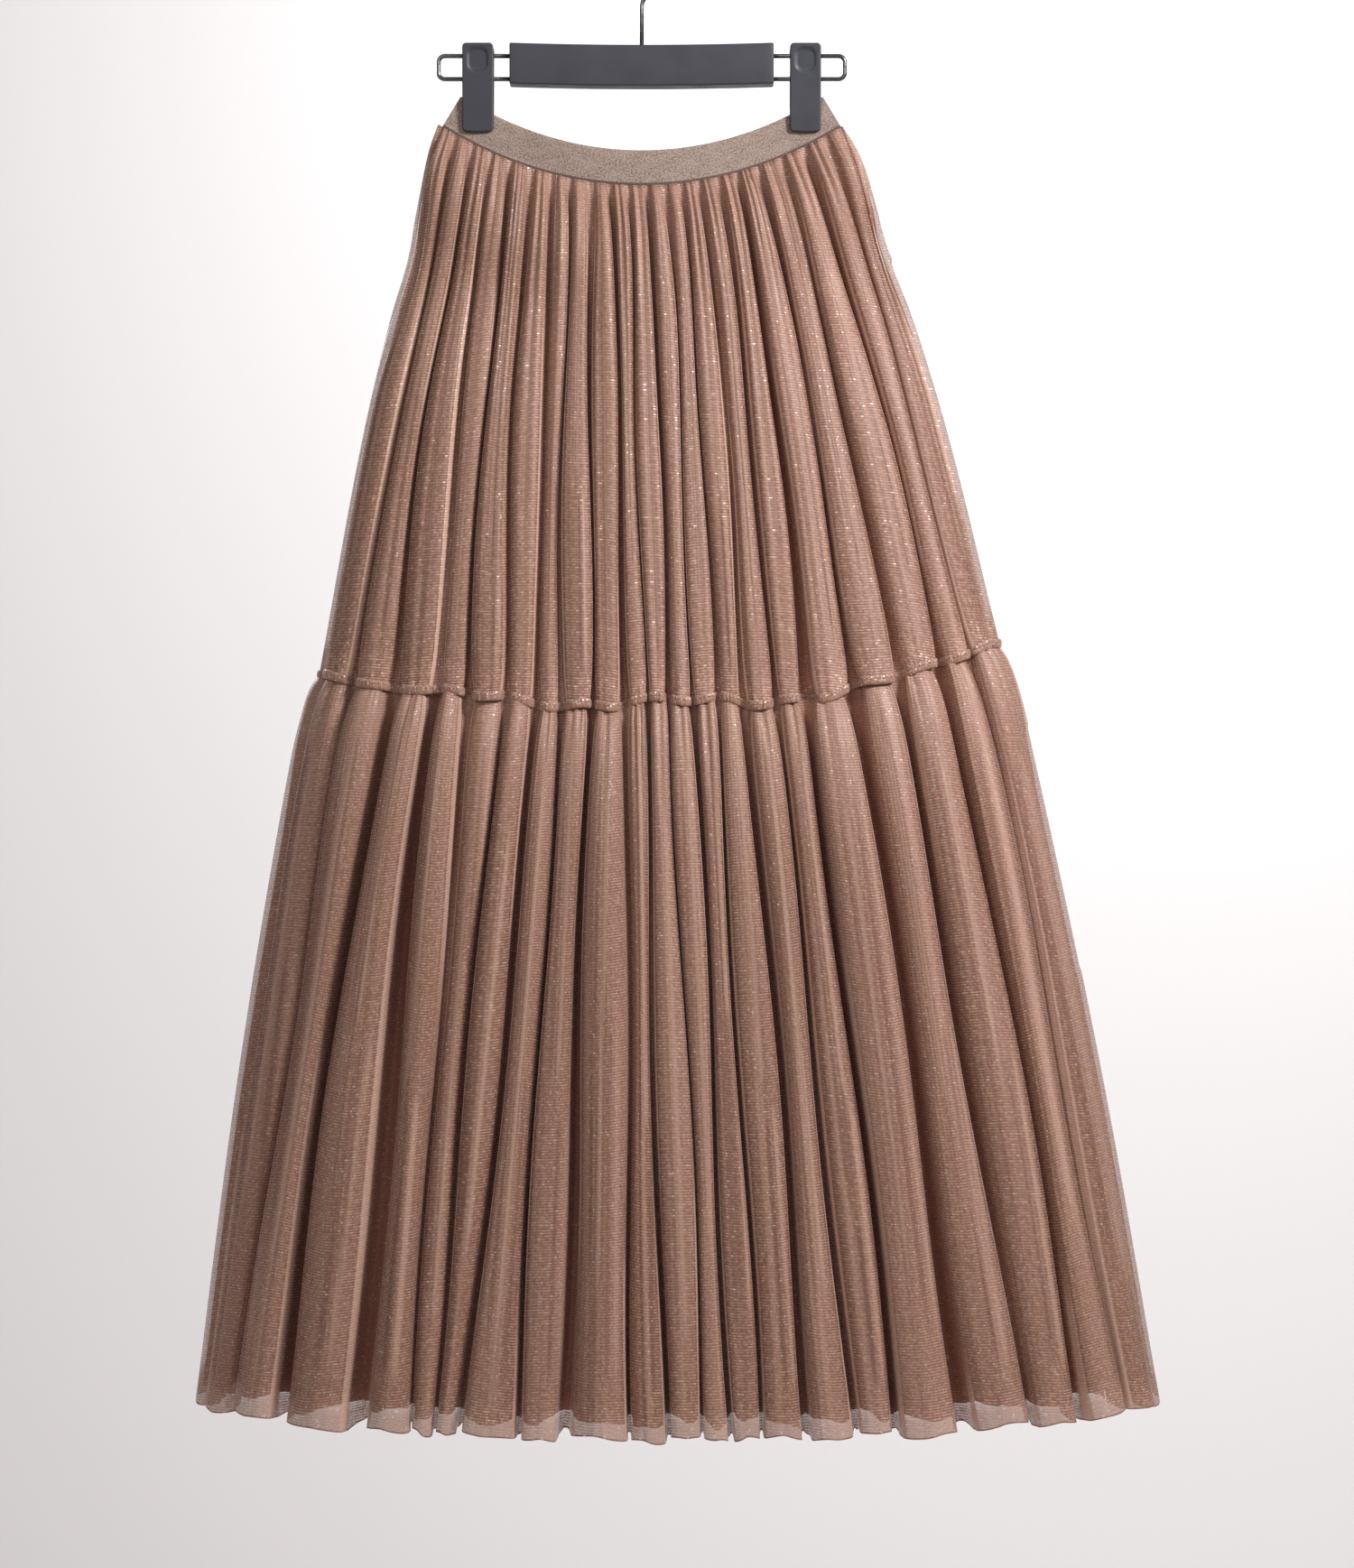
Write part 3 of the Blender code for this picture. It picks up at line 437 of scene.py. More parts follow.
# One row for each level of a tier. drop is the share of the way down it. half_width, front and back
# are the reach of the crests from the hanger's plane, square is the oval's exponent, pinch is how far
# its sides are pressed together, fold the half depth of the folds and wave that of the inner layer.
Section = namedtuple("Section", "drop half_width centre front back square pinch fold wave")
UPPER_SECTIONS = (
    Section(0.00, 0.1448, -0.001, 0.0105, 0.0105, 8.0, 0.42, 0.0006, 0.0000),
    Section(0.09, 0.1590, 0.002, 0.0280, 0.0240, 3.2, 0.15, 0.0052, 0.0008),
    Section(0.52, 0.2060, 0.007, 0.0560, 0.0440, 2.5, 0.00, 0.0090, 0.0025),
    Section(1.00, 0.2460, 0.012, 0.0800, 0.0590, 2.3, 0.00, 0.0085, 0.0035),
)
LOWER_SECTIONS = (
    UPPER_SECTIONS[-1]._replace(drop=0.00),
    Section(0.08, 0.2590, 0.013, 0.0930, 0.0690, 2.3, 0.00, 0.0125, 0.0045),
    Section(0.50, 0.3030, 0.019, 0.1080, 0.0790, 2.2, 0.00, 0.0145, 0.0055),
    Section(1.00, 0.3465, 0.026, 0.1240, 0.0900, 2.2, 0.00, 0.0155, 0.0065),
)


def smooth_through(places, values, wanted):
    """Rows between a table's rows: cubic curves that meet with one slope, which is the mean of the two
    chords beside a row, or none where the chords turn."""
    steps = np.diff(places)[:, None]
    chords = np.diff(values, axis=0) / steps
    turning = chords[:-1] * chords[1:] <= 0
    middle = np.where(turning, 0, (chords[:-1] + chords[1:]) / 2)
    slopes = np.concatenate([chords[:1], middle, chords[-1:]])
    row = np.clip(np.searchsorted(places, wanted, side="right") - 1, 0, len(places) - 2)
    step = steps[row]
    t = (wanted - places[row])[:, None] / step
    return ((2 * t ** 3 - 3 * t ** 2 + 1) * values[row] + (t ** 3 - 2 * t ** 2 + t) * step * slopes[row]
            + (3 * t ** 2 - 2 * t ** 3) * values[row + 1] + (t ** 3 - t ** 2) * step * slopes[row + 1])


def sections_at(table, drops):
    """A section whose fields are columns, with one value for each drop."""
    values = np.array(table)
    found = smooth_through(values[:, 0], values, np.asarray(drops))
    return Section(*(found[:, field:field + 1] for field in range(found.shape[1])))


def plan_rings(section, inset=0.0):
    """The plan line of the cloth at each level, [row, sample, xy], and how far round the ring each
    sample lies. With s from -1 to 1, x = centre + half width * s, and the reach to the front and the
    back is depth * (1 - |s|^n)^(1/n), pressed flat at the sides by the pinch. An inset line lies
    that far inside, and is closed at the sides by (1 - s^4)^(1/4)."""
    half_width = section.half_width - section.fold
    share = SAMPLE_SHARES * (1 - SIDE_INSET * inset / half_width)
    free = np.clip(1 - (share / CLIP_SHARE) ** 2, 0, None) ** 2
    reach = (1 - np.abs(share) ** section.square) ** (1 / section.square)
    reach = reach * (1 - section.pinch * (1 - free))
    closing = (1 - SAMPLE_SHARES ** 4) ** (1 / 4)
    sides = []
    for depth in (section.front, section.back):
        line = (depth - section.fold) * reach
        sides.append(np.where(inset > 0, np.maximum(line - inset, INNER_HALF_GAP) * closing, line))
    x = section.centre + half_width * share
    front = np.stack([x, -sides[0]], axis=-1)
    back = np.stack([x, sides[1]], axis=-1)[:, ::-1]
    rings = np.concatenate([front, back[:, 1:]], axis=1)
    steps = np.linalg.norm(np.diff(rings, axis=1), axis=2)
    run = np.concatenate([np.zeros((len(rings), 1)), np.cumsum(steps, axis=1)], axis=1)
    across, total = run[:, SAMPLES - 1:SAMPLES], run[:, -1:]
    places = np.where(run <= across, run / across, 1 + (run - across) / (total - across)) / 2
    return rings, places, (across, total - across)


def on_rings(rings, places, wanted):
    """Points and outward normals of each level's plan line at the wanted places round it."""
    slopes = np.gradient(rings, axis=1)
    slopes[:, 0] = slopes[:, -1] = (slopes[:, 0] + slopes[:, -1]) / 2
    samples = np.concatenate([rings, slopes], axis=2)
    found = np.array([[np.interp(np.mod(at, 1.0), place, line) for line in sample.T]
                      for at, place, sample in zip(wanted, places, samples)])
    tangents = found[:, 2:] / np.linalg.norm(found[:, 2:], axis=1, keepdims=True)
    return (np.stack([found[:, 0], found[:, 1]], axis=-1),
            np.stack([tangents[:, 1], -tangents[:, 0]], axis=-1))


def across_share(section, x):
    """Where a place x lies across a level, from -1 at the left side to 1 at the right."""
    return np.clip((x - section.centre) / (section.half_width - section.fold), -1, 1)


def waist_height(x):
    """The waist seam sags between the clips: z = lowest + sag * x^2."""
    return WAIST_Z + WAIST_SAG * x ** 2


def seam_height(x):
    """The tier seam lies low in the middle and rises to the sides as |s|^2.6, more to the right. It
    also steps up and down by a millimetre or two, as gathers of uneven fullness pull it."""
    share = across_share(UPPER_SECTIONS[-1], x)
    rise = np.where(share < 0, SEAM_RISE_LEFT, SEAM_RISE_RIGHT)
    steps = SEAM_STEP * np.tanh(2.6 * np.sin(9.5 * share + 0.9)) + SEAM_RIPPLE * np.sin(31 * share + 2.0)
    return SEAM_Z + rise * np.abs(share) ** SEAM_POWER + steps * (1 - share ** 4)


def hem_height(x):
    return HEM_Z + HEM_RISE * across_share(LOWER_SECTIONS[-1], x) ** 2


def lay_weave(piece, across, down, **values):
    """Gives a cloth piece its thread coordinates in metres, and its named values at each point."""
    mesh = piece.data
    corners = np.empty(len(mesh.loops), dtype=np.int32)
    mesh.loops.foreach_get("vertex_index", corners)
    threads = np.stack(np.broadcast_arrays(across, down), axis=-1).reshape(-1, 2)
    mesh.uv_layers.new(name="cloth").data.foreach_set("uv", threads[corners].ravel())
    for name, value in values.items():
        layer = mesh.attributes.new(name, "FLOAT", "POINT")
        layer.data.foreach_set("value", np.ascontiguousarray(value, dtype=np.float32).ravel())


def weave_coordinates(finish):
    """The cloth's own coordinates, and its distances across and down the cloth."""
    cloth = finish.node("ShaderNodeUVMap", {}, uv_map="cloth").outputs[0]
    return cloth, *finish.parts(cloth)[:2]


def plain_woven_cloth():
    """Dark brown lining: fine crossing threads and soft vertical creases, with painted shade in their
    furrows and painted light on their ridges, changing slowly down the cloth.
    """
    lining = Finish("plain_inner_cloth")
    cloth, across, down = weave_coordinates(lining)
    threads = lining.times(lining.wave(across, WARP_SPACING), lining.wave(down, WEFT_SPACING))
    creases = lining.noise(cloth, (120.0, 4.0, 1.0), 3.0)
    # Painted shade in the creases' furrows and painted light on their ridges, which the bumps also raise.
    lining.coat(creases, (0.115, 0.050, 0.036), below=(0.060, 0.024, 0.017))
    lining.coat(lining.scaled(threads, 0.12, 0.12), (0.15, 0.075, 0.055))
    relief = lining.scaled(threads, 0.05, creases)
    lining.surface(roughness=0.8, sheen_weight=0.15, normal=lining.bumps(relief, 0.5, 0.003))
    return lining.material


def inner_points(drops, section):
    """Level rings inside the troughs of the folds, with a soft wave along them: the line stands in by
    the folds' depth and the wave's own depth * (1 - cos) of its turns round the ring."""
    wave = section.wave
    inset = MOST_SPREAD * section.fold + NET_WALL + 4 * SEAM_GAP + wave
    rings, places, _ = plan_rings(section, inset)
    wanted = np.tile(np.linspace(0, 1, 2 * INNER_COLUMNS + 1), (len(drops), 1))
    points, normals = on_rings(rings, places, wanted)
    turn = 2 * math.pi * (2 * INNER_WAVES * wanted + 0.22 * np.sin(2 * math.pi * 5 * wanted))
    return points + normals * (wave * np.cos(turn))[..., None]


inner_drops = np.linspace(0, 1, INNER_ROWS)
upper_inner = inner_points(inner_drops, sections_at(UPPER_SECTIONS, inner_drops))
lower_inner = inner_points(inner_drops, sections_at(LOWER_SECTIONS, inner_drops))
inner_waist = waist_height(upper_inner[:1, :, 0]) - SEAM_GAP
inner_seam = seam_height(upper_inner[-1:, :, 0])
inner_hem = hem_height(lower_inner[-1:, :, 0]) + INNER_HEM_RISE
inner_heights = np.concatenate([
    inner_waist + (inner_seam - inner_waist) * inner_drops[:, None],
    (inner_seam + (inner_hem - inner_seam) * inner_drops[:, None])[1:]])
inner_grid = np.concatenate([np.concatenate([upper_inner, lower_inner[1:]]),
                             inner_heights[..., None]], axis=-1)
inner_across = np.linspace(0, INNER_ROUND, inner_grid.shape[1])[None]
inner_cloth = plain_woven_cloth()
for side, first, last in (("front", 0, INNER_COLUMNS), ("back", INNER_COLUMNS, 2 * INNER_COLUMNS)):
    taken = slice(first, last + 1)
    made = skin_piece(f"inner_cloth_{side}", inner_grid[:, taken], inner_cloth,
                      f"inner_layer_{side}", closed=False)
    lay_weave(made, inner_across[:, taken], -inner_heights[:, taken])

# ---- Upper tier -------------------------------------------------------------------------------------
# Two plies of soft net with a fine shimmer, each a straight length gathered into the waist seam. They
# hang in uneven tube-like folds, and small gathers under the band run out into them.

FOLD_POINTS, UPPER_ROWS, NET_UNDER_BAND = 36, 80, 0.0006
# Folds: the most depth for a width, the depth from which a fold is boxy, and how far down the early
# swelling under a gathered edge is greatest.
MOST_STEEP, FULL_FOLD, EARLY_DROP = 0.55, 0.009, 0.04
# Troughs: where the side folds end and how far those stand open, how far a trough wanders, and its
# depth as shares of the crest beside it: at least, more where it stands open, and at most.
SIDE_FOLD_SHARE, SIDE_OPEN, WANDER = 1 / 3, 0.1, 0.015
TROUGH_LEAST, TROUGH_OPENING, TROUGH_MOST = 0.30, 1.1, 1.25
# Two folds hang as one over this reach, by this share, where the trough is less open than this.
JOINED_REACH, JOINED_SHARE, JOINED_OPEN = 0.16, 0.75, 0.3
# Slots: the growth where one stands open, its share in low round folds, and how far the seams reach.
SLOT_OPENING, ROUND_SLOT, SLOT_REACH_TOP, SLOT_REACH_FOOT = 0.15, 0.22, 0.025, 0.035
# Creases: shares of the depths and widths in the tables, metres for one share across, and how far
# those of the back are moved. Hollows: the depth of a full one and how far beside it cloth counts.
CREASE_DEEP, CREASE_NARROW, CREASE_REACH, CREASES_BACK_SHIFT = 0.6, 0.6, 0.21, 0.031
HOLLOW_FOLD, HOLLOW_COLUMNS = 0.009, 14
# The under ply: how far inside it lies, how much further at the sides, and how far its lines move.
UNDER_DEPTH, UNDER_SIDE_DEPTH, UNDER_ASIDE = 0.0012, 0.0030, 1.3
# The net: its shades, among them a paler, redder colour painted into the hollows for the light that
# passes through the net, the length of its dashes, how far rows and moire wander, and the lines' step.
DEEP_SHADE, DARK_SHADE = (0.150, 0.058, 0.041), (0.300, 0.147, 0.099)
MID_SHADE, PALE_SHADE = (0.410, 0.219, 0.157), (0.650, 0.423, 0.334)
PAINTED_HOLLOW_LIGHT, GLITTER_SHADE = (0.450, 0.205, 0.146), (0.80, 0.62, 0.54)
DASHES_PER_METRE, ROW_WANDER, LINE_STEP = 650.0, 4.0, 0.055
MOIRE_PERIOD, MOIRE_WANDER = 0.0042, 3.0

# One row for each trough between two folds of the front: where it lies across the front at the waist,
# at the tier seam and at the hem, and how far it stands open in the upper and in the lower tier.
Trough = namedtuple("Trough", "waist seam hem upper_open lower_open")
TROUGHS = (
    Trough(-0.925, -0.903, -0.945, 0.15, 0.20),
    Trough(-0.835, -0.780, -0.840, 0.35, 0.60),
    Trough(-0.740, -0.651, -0.673, 0.10, 0.65),
    Trough(-0.645, -0.562, -0.561, 0.40, 0.10),
    Trough(-0.540, -0.446, -0.512, 0.15, 0.20),
    Trough(-0.440, -0.356, -0.462, 0.45, 0.35),
    Trough(-0.350, -0.286, -0.329, 0.10, 0.15),
    Trough(-0.250, -0.192, -0.243, 0.20, 0.45),
    Trough(-0.150, -0.093, -0.100, 0.50, 0.10),
    Trough(-0.060, -0.030, -0.016, 0.05, 0.25),
    Trough(0.030, 0.030, 0.052, 0.30, 0.05),
    Trough(0.115, 0.103, 0.110, 0.05, 0.45),
    Trough(0.205, 0.178, 0.175, 0.25, 0.10),
    Trough(0.290, 0.248, 0.269, 0.15, 0.55),
    Trough(0.385, 0.347, 0.377, 0.20, 0.15),
    Trough(0.480, 0.433, 0.454, 0.70, 0.40),
    Trough(0.585, 0.575, 0.602, 0.25, 0.70),
    Trough(0.700, 0.711, 0.741, 0.10, 0.20),
    Trough(0.815, 0.835, 0.840, 0.40, 0.60),
    Trough(0.920, 0.925, 0.940, 0.15, 0.20),
)
FRONT_FOLDS, BACK_FOLDS = len(TROUGHS) + 3, len(TROUGHS) + 1
ALL_FOLDS = FRONT_FOLDS + BACK_FOLDS
PANELS = (("front", 0, FRONT_FOLDS), ("back", FRONT_FOLDS, BACK_FOLDS))

# One row for each long crease on the faces of the folds: where it lies across the front at its top and
# at its foot, which stretch of the tier it crosses, how deep it is (a ridge is below zero) and how wide.
Crease = namedtuple("Crease", "top_place foot_place start stop depth width")
UPPER_CREASES = (
    Crease(-0.965, -0.955, 0.05, 0.90, 0.0016, 0.0030),
    Crease(-0.880, -0.850, 0.00, 0.70, 0.0020, 0.0032),
    Crease(-0.860, -0.815, 0.35, 1.00, -0.0012, 0.0040),
    Crease(-0.790, -0.725, 0.00, 0.95, 0.0024, 0.0034),
    Crease(-0.705, -0.600, 0.10, 0.60, 0.0018, 0.0028),
    Crease(-0.690, -0.620, 0.55, 1.00, 0.0020, 0.0036),
    Crease(-0.600, -0.510, 0.00, 0.85, 0.0026, 0.0030),
    Crease(-0.570, -0.475, 0.40, 1.00, -0.0014, 0.0036),
    Crease(-0.495, -0.405, 0.05, 0.75, 0.0024, 0.0028),
    Crease(-0.400, -0.325, 0.00, 0.92, 0.0022, 0.0030),
    Crease(-0.375, -0.300, 0.50, 1.00, 0.0014, 0.0026),
    Crease(-0.300, -0.245, 0.00, 0.66, 0.0026, 0.0030),
    Crease(-0.285, -0.215, 0.55, 1.00, -0.0012, 0.0032),
    Crease(-0.200, -0.150, 0.05, 1.00, 0.0026, 0.0032),
    Crease(-0.105, -0.062, 0.00, 0.80, 0.0020, 0.0026),
    Crease(-0.015, 0.002, 0.10, 1.00, 0.0024, 0.0028),
    Crease(0.072, 0.070, 0.00, 0.62, 0.0022, 0.0028),
    Crease(0.085, 0.052, 0.55, 1.00, 0.0016, 0.0026),
    Crease(0.160, 0.140, 0.00, 0.95, 0.0026, 0.0030),
    Crease(0.248, 0.212, 0.05, 0.70, 0.0022, 0.0028),
    Crease(0.262, 0.225, 0.60, 1.00, -0.0014, 0.0034),
    Crease(0.338, 0.300, 0.00, 0.90, 0.0026, 0.0032),
    Crease(0.432, 0.392, 0.00, 0.80, 0.0020, 0.0028),
    Crease(0.532, 0.505, 0.05, 1.00, 0.0026, 0.0034),
    Crease(0.555, 0.545, 0.45, 0.95, -0.0012, 0.0032),
    Crease(0.642, 0.640, 0.00, 0.85, 0.0024, 0.0032),
    Crease(0.672, 0.680, 0.50, 1.00, 0.0016, 0.0030),
    Crease(0.757, 0.770, 0.00, 1.00, 0.0026, 0.0036),
    Crease(0.790, 0.800, 0.35, 0.90, -0.0014, 0.0036),
    Crease(0.865, 0.880, 0.00, 0.78, 0.0022, 0.0034),
    Crease(0.955, 0.960, 0.10, 0.95, 0.0018, 0.0032),
)
# What differs from fold to fold: its depth, the lean of its crest to one side, the tilt of its face,
# how narrow the slots beside it are, how flat its face is, how far down its own small gathers run,
# where the trough at its left grows shallow, so that two folds hang as one there, how many gathers it
# has, how far they shift to one side, and how much of them stays to the foot.
FoldHabit = namedtuple("FoldHabit", "depth lean tilt slot flat run joined count shift kept")
habits = np.random.default_rng(11)


def fold_habits(depth, lean, tilt, run, kept):
    """One value for each fold of the ring and each habit: its mean, plus or minus up to its spread."""
    drawn = habits.uniform(-1, 1, (10, ALL_FOLDS))
    return FoldHabit(depth[0] + depth[1] * drawn[0], lean * drawn[1], tilt * drawn[2],
                     0.032 + 0.013 * drawn[3], 4.2 + 1.6 * drawn[4], run[0] + run[1] * drawn[5],
                     0.5 + 1.1 * drawn[6], 2.0 + (drawn[7] > 0.4) - (drawn[7] < -0.7), 0.60 * drawn[8],
                     kept[0] + kept[1] * drawn[9])


UPPER_HABIT = fold_habits(depth=(0.90, 0.20), lean=0.10, tilt=0.42, run=(0.34, 0.16),
                          kept=(0.10, 0.08))


def ease(values, low, high):
    """0 below low and 1 above high, with a smooth step t * t * (3 - 2 t) between."""
    t = np.clip((values - low) / (high - low), 0, 1)
    return t * t * (3 - 2 * t)


def trough_places(places, top_name, foot_name, drops):
    """Where every trough lies round the ring at each level, starting behind the left side fold. Between
    its two ends a trough wanders to one side by a slow sine. The back repeats the front's order."""
    top, foot = (np.array([getattr(row, name) for row in TROUGHS]) for name in (top_name, foot_name))
    order = np.arange(len(TROUGHS))
    sway = WANDER * np.sin(3.6 * drops[:, None] + 2.4 * order) * np.sin(math.pi * drops)[:, None]
    shares = top + (foot - top) * drops[:, None] + sway
    found = []
    for share, place in zip(shares, places):
        front = np.interp(share, SAMPLE_SHARES, place[:SAMPLES])
        back = np.interp(-share, SAMPLE_SHARES, place[SAMPLES - 1:][::-1])
        left_back = -SIDE_FOLD_SHARE * (1 - back[-1])
        left_front = SIDE_FOLD_SHARE * front[0]
        right_front = 0.5 - SIDE_FOLD_SHARE * (0.5 - front[-1])
        right_back = 0.5 + SIDE_FOLD_SHARE * (back[0] - 0.5)
        found.append(np.concatenate([[left_back, left_front], front, [right_front, right_back],
                                     back, [1 + left_back]]))
    return np.array(found)


def openness(name):
    """How far each fold's left and right trough stands open, for all the folds of the ring."""
    opened = np.array([getattr(row, name) for row in TROUGHS])
    at_sides = [SIDE_OPEN, SIDE_OPEN]
    troughs = np.concatenate([at_sides, opened, at_sides, opened[::-1]])
    return troughs, np.roll(troughs, -1)


def crease_depths(creases, x, shift, drops):
    """How far creases sink the cloth: the sum over all creases of depth * exp(-|distance / width|^1.4),
    each faded in and out at its two ends, and with it the painted line that each one draws, the sum of
    2.33 u * exp(-u^2), a painted highlight at its right and painted shade at its left. x is a level's
    share across, from -1 to 1."""
    sunk, line = np.zeros_like(x), np.zeros_like(x)
    for crease in creases:
        along = (drops[:, None] - crease.start) / (crease.stop - crease.start)
        middle = crease.top_place + (crease.foot_place - crease.top_place) * drops[:, None]
        shown = ease(along, 0, 0.18) * (1 - ease(along, 0.78, 1))
        away = (x - middle - shift) * CREASE_REACH / (CREASE_NARROW * crease.width)
        sunk += CREASE_DEEP * crease.depth * shown * np.exp(-np.abs(away) ** 1.4)
        line += 2.33 * shown * away * np.exp(-away ** 2)
    return np.array([sunk, line])


def fold_angles():
    """The angle a of every column of a fold, closer together on its face and in the slot."""
    even = (np.arange(FOLD_POINTS) / FOLD_POINTS * 2 - 1) * math.pi
    return even - 0.25 * np.sin(2 * even)


def fold_depths(section, drops, widths, habit, early, left_open):
    """How far each fold's crest stands out of the plan line, and how far the trough at its left stands
    in. A fold is deeper by the root of its width, but never too steep, and two folds hang as one
    where the trough between them grows shallow, by exp(-((drop - joined) / reach)^2)."""
    spread = np.minimum(np.sqrt(widths / widths.mean(axis=1, keepdims=True)), MOST_SPREAD)
    swelling = early * drops / EARLY_DROP * np.exp(1 - drops / EARLY_DROP)
    crests = (section.fold + swelling[:, None]) * spread * habit.depth
    crests = np.minimum(crests, MOST_STEEP * widths)
    troughs = np.minimum(crests, np.roll(crests, 1, axis=1))
    joined = np.exp(-((drops[:, None] - habit.joined) / JOINED_REACH) ** 2)
    return crests, troughs * (1 - JOINED_SHARE * joined * (left_open < JOINED_OPEN))


def slot_widths(drops, opened, full, habit, gathers):
    """The half width of the slot between two folds, as a share of a fold's. It grows with how far the
    trough stands open, and near both seams, and is widest where the folds are too low to be full."""
    slot = full * (habit.slot[:, None] + SLOT_OPENING * opened) + (1 - full) * ROUND_SLOT
    near_seams = (gathers.gap_above * np.exp(-drops / SLOT_REACH_TOP)
                  + gathers.gap_below * np.exp((drops - 1) / SLOT_REACH_FOOT))
    return slot + near_seams[:, None, None] * full


def small_gathers(across, drops, habit, gathers, slow):
    """The small gathers of every fold: with s from 0 to 1 across it, |sin(k 180 s)|^0.65 less its mean,
    shifted a little to one side. They swell below the seam and fade on the way down."""
    stays = 1 - (1 - habit.kept) * ease(drops[:, None] / habit.run, 0.10, 1.0)
    swell = gathers.depth * ease(drops, 0, gathers.swell)[:, None] + gathers.edge
    shift = ((habit.shift + 0.25 * slow) / (2 * math.pi))[..., None]
    shifted = across + shift * np.sin(2 * math.pi * across)
    puff = np.abs(np.sin(math.pi * habit.count[:, None] * shifted)) ** 0.65 - 0.55
    return (swell * stays)[..., None] * puff


def fold_looks(section, stand, habit, slow, sine):
    """How deep each point lies in a hollow, below the highest cloth beside it, and how strongly the
    painted highlight on the edge of a fold's face shows there, more on the edge that the tilt raises,
    both from 0 to 1."""
    around = range(-HOLLOW_COLUMNS, HOLLOW_COLUMNS + 1, 2)
    highest = np.max([np.roll(stand, step, axis=1) for step in around], axis=0)
    hollow = np.clip((highest - stand) / (2 * np.maximum(section.fold, HOLLOW_FOLD)), 0, 1)
    raised = 0.6 + 0.4 * np.tanh(40 * habit.tilt[:, None] * slow[..., None] * sine)
    return hollow, raised.reshape(stand.shape) * ease(section.fold, 0.002, 0.007)


def folded_plan(table, ends, drops, habit, gathers, creases):
    """The plan of folded cloth, [row, column, xy], and three looks of each point: how deep it lies in a
    hollow and how strongly the painted highlight on the edge of its fold's face shows there, from 0 to 1,
    and the creases' painted lines of light and shade.

    Along a fold the angle a runs from -180 degrees at one trough through 0 at the crest to 180. With e
    the half width of the slot between two folds, the crest is the box-like oval x = (1 - 2e) sin a and
    y = (cos a)^(2/n), and the slot the half oval x = 1 - 2e (sin |a|) and y = cos a. Tilt raises one
    edge of the face, lean moves the crest aside, and small gathers and creases come on top.
    """
    section = sections_at(table, drops)
    rings, places, lengths = plan_rings(section)
    troughs = trough_places(places, *ends[:2], drops)
    widths = np.diff(troughs, axis=1)
    middles = (troughs[:, 1:] + troughs[:, :-1]) / 2
    true_widths = widths * 2 * np.where(middles < 0.5, *lengths)
    left_open, right_open = openness(ends[2])
    heights, low = fold_depths(section, drops, true_widths, habit, gathers.early, left_open)

    angle = fold_angles()
    sine, cosine = np.sin(angle), np.cos(angle)
    on_face, left_half = cosine > 0, angle < 0
    full = np.minimum(1, section.fold / FULL_FOLD)[..., None]
    opened = np.where(left_half, left_open[:, None], right_open[:, None])
    low = np.where(left_half, low[..., None], np.roll(low, -1, axis=1)[..., None])
    low = np.minimum(low * (TROUGH_LEAST + TROUGH_OPENING * opened),
                     TROUGH_MOST * section.fold[..., None])
    slot = slot_widths(drops, opened, full, habit, gathers)
    aside = np.where(on_face, (1 - 2 * slot) * np.abs(sine), 1 - 2 * slot * np.abs(sine))
    power = 2 / (2 + full * (habit.flat[:, None] - 2))
    rise = np.abs(cosine) ** np.where(on_face, power, 1.0) * np.sign(cosine)
    across = (1 + aside * np.sign(angle)) / 2

    slow = np.cos(2.6 * drops[:, None] + 1.7 * np.arange(ALL_FOLDS))
    lean = (habit.lean * slow)[..., None] * (1 + rise) / 2
    tilt = (habit.tilt * (0.6 + 0.4 * slow))[..., None] * full * sine * np.maximum(cosine, 0) ** 0.3
    near = np.clip(drops / gathers.shoulder, 0, 1)
    pinch = 1 - gathers.pinch * (1 - np.sqrt(1 - (1 - near) ** 2))
    stand = np.where(on_face, heights[..., None] * (rise + 0.5 * tilt - 0.5 * np.abs(tilt)), low * rise)
    stand = stand * pinch[:, None, None]
    puffs = small_gathers(across, drops, habit, gathers, slow)
    stand = stand + puffs * np.where(on_face, 1, 1 + 0.7 * rise)

    shape = (len(drops), -1)
    wanted = (troughs[:, :-1, None] + widths[..., None] * (across + lean)).reshape(shape)
    points, normals = on_rings(rings, places, wanted)
    share = across_share(section, points[..., 0])
    crest = np.tile((1 + cosine) / 2, ALL_FOLDS)
    sunk, line = np.where(np.mod(wanted, 1.0) > 0.5,
                          crease_depths(creases, -share, CREASES_BACK_SHIFT, drops),
                          crease_depths(creases, share, 0.0, drops))
    stand = stand.reshape(shape) - sunk * crest
    looks = np.stack([*fold_looks(section, stand, habit, slow, sine), line * crest])
    return points + normals * stand[..., None], looks


def inside_plan(plan, table, drops):
    """The plan of a second ply: the first moved inwards, square to itself, and further in at the sides,
    by a share |s|^12 of the side depth, where it hangs apart from the first."""
    ahead = np.roll(plan, -1, axis=1) - plan
    behind = plan - np.roll(plan, 1, axis=1)
    along = ahead / np.linalg.norm(ahead, axis=2, keepdims=True)
    along = along + behind / np.linalg.norm(behind, axis=2, keepdims=True)
    along = along / np.linalg.norm(along, axis=2, keepdims=True)
    moved = plan + UNDER_DEPTH * np.stack([-along[..., 1], along[..., 0]], axis=-1)
    share = across_share(sections_at(table, drops), moved[..., 0])
    apart = UNDER_SIDE_DEPTH * ease(drops, 0.02, 0.25)[:, None] * share * np.abs(share) ** 11
    moved[..., 0] -= apart
    return moved


def stitch_rows(net, across, down, tones, course):
    """Rows of stitches, 1 on a row and 0 between two, that wander with the tones, and three numbers
    drawn for each short dash of a row: how it sparkles, how pale and how dark it is."""
    row = net.scaled(down, 1 / course, net.times(tones, ROW_WANDER))
    cell = net.node("ShaderNodeCombineXYZ", {
        "X": net.maths("FLOOR", net.times(across, DASHES_PER_METRE)),
        "Y": net.maths("FLOOR", row)}).outputs[0]
    drawn = net.node("ShaderNodeTexWhiteNoise", {"Vector": cell}, noise_dimensions="2D")
    return net.scaled(net.wave(row), 0.5, 0.5), *net.parts(drawn.outputs["Color"])


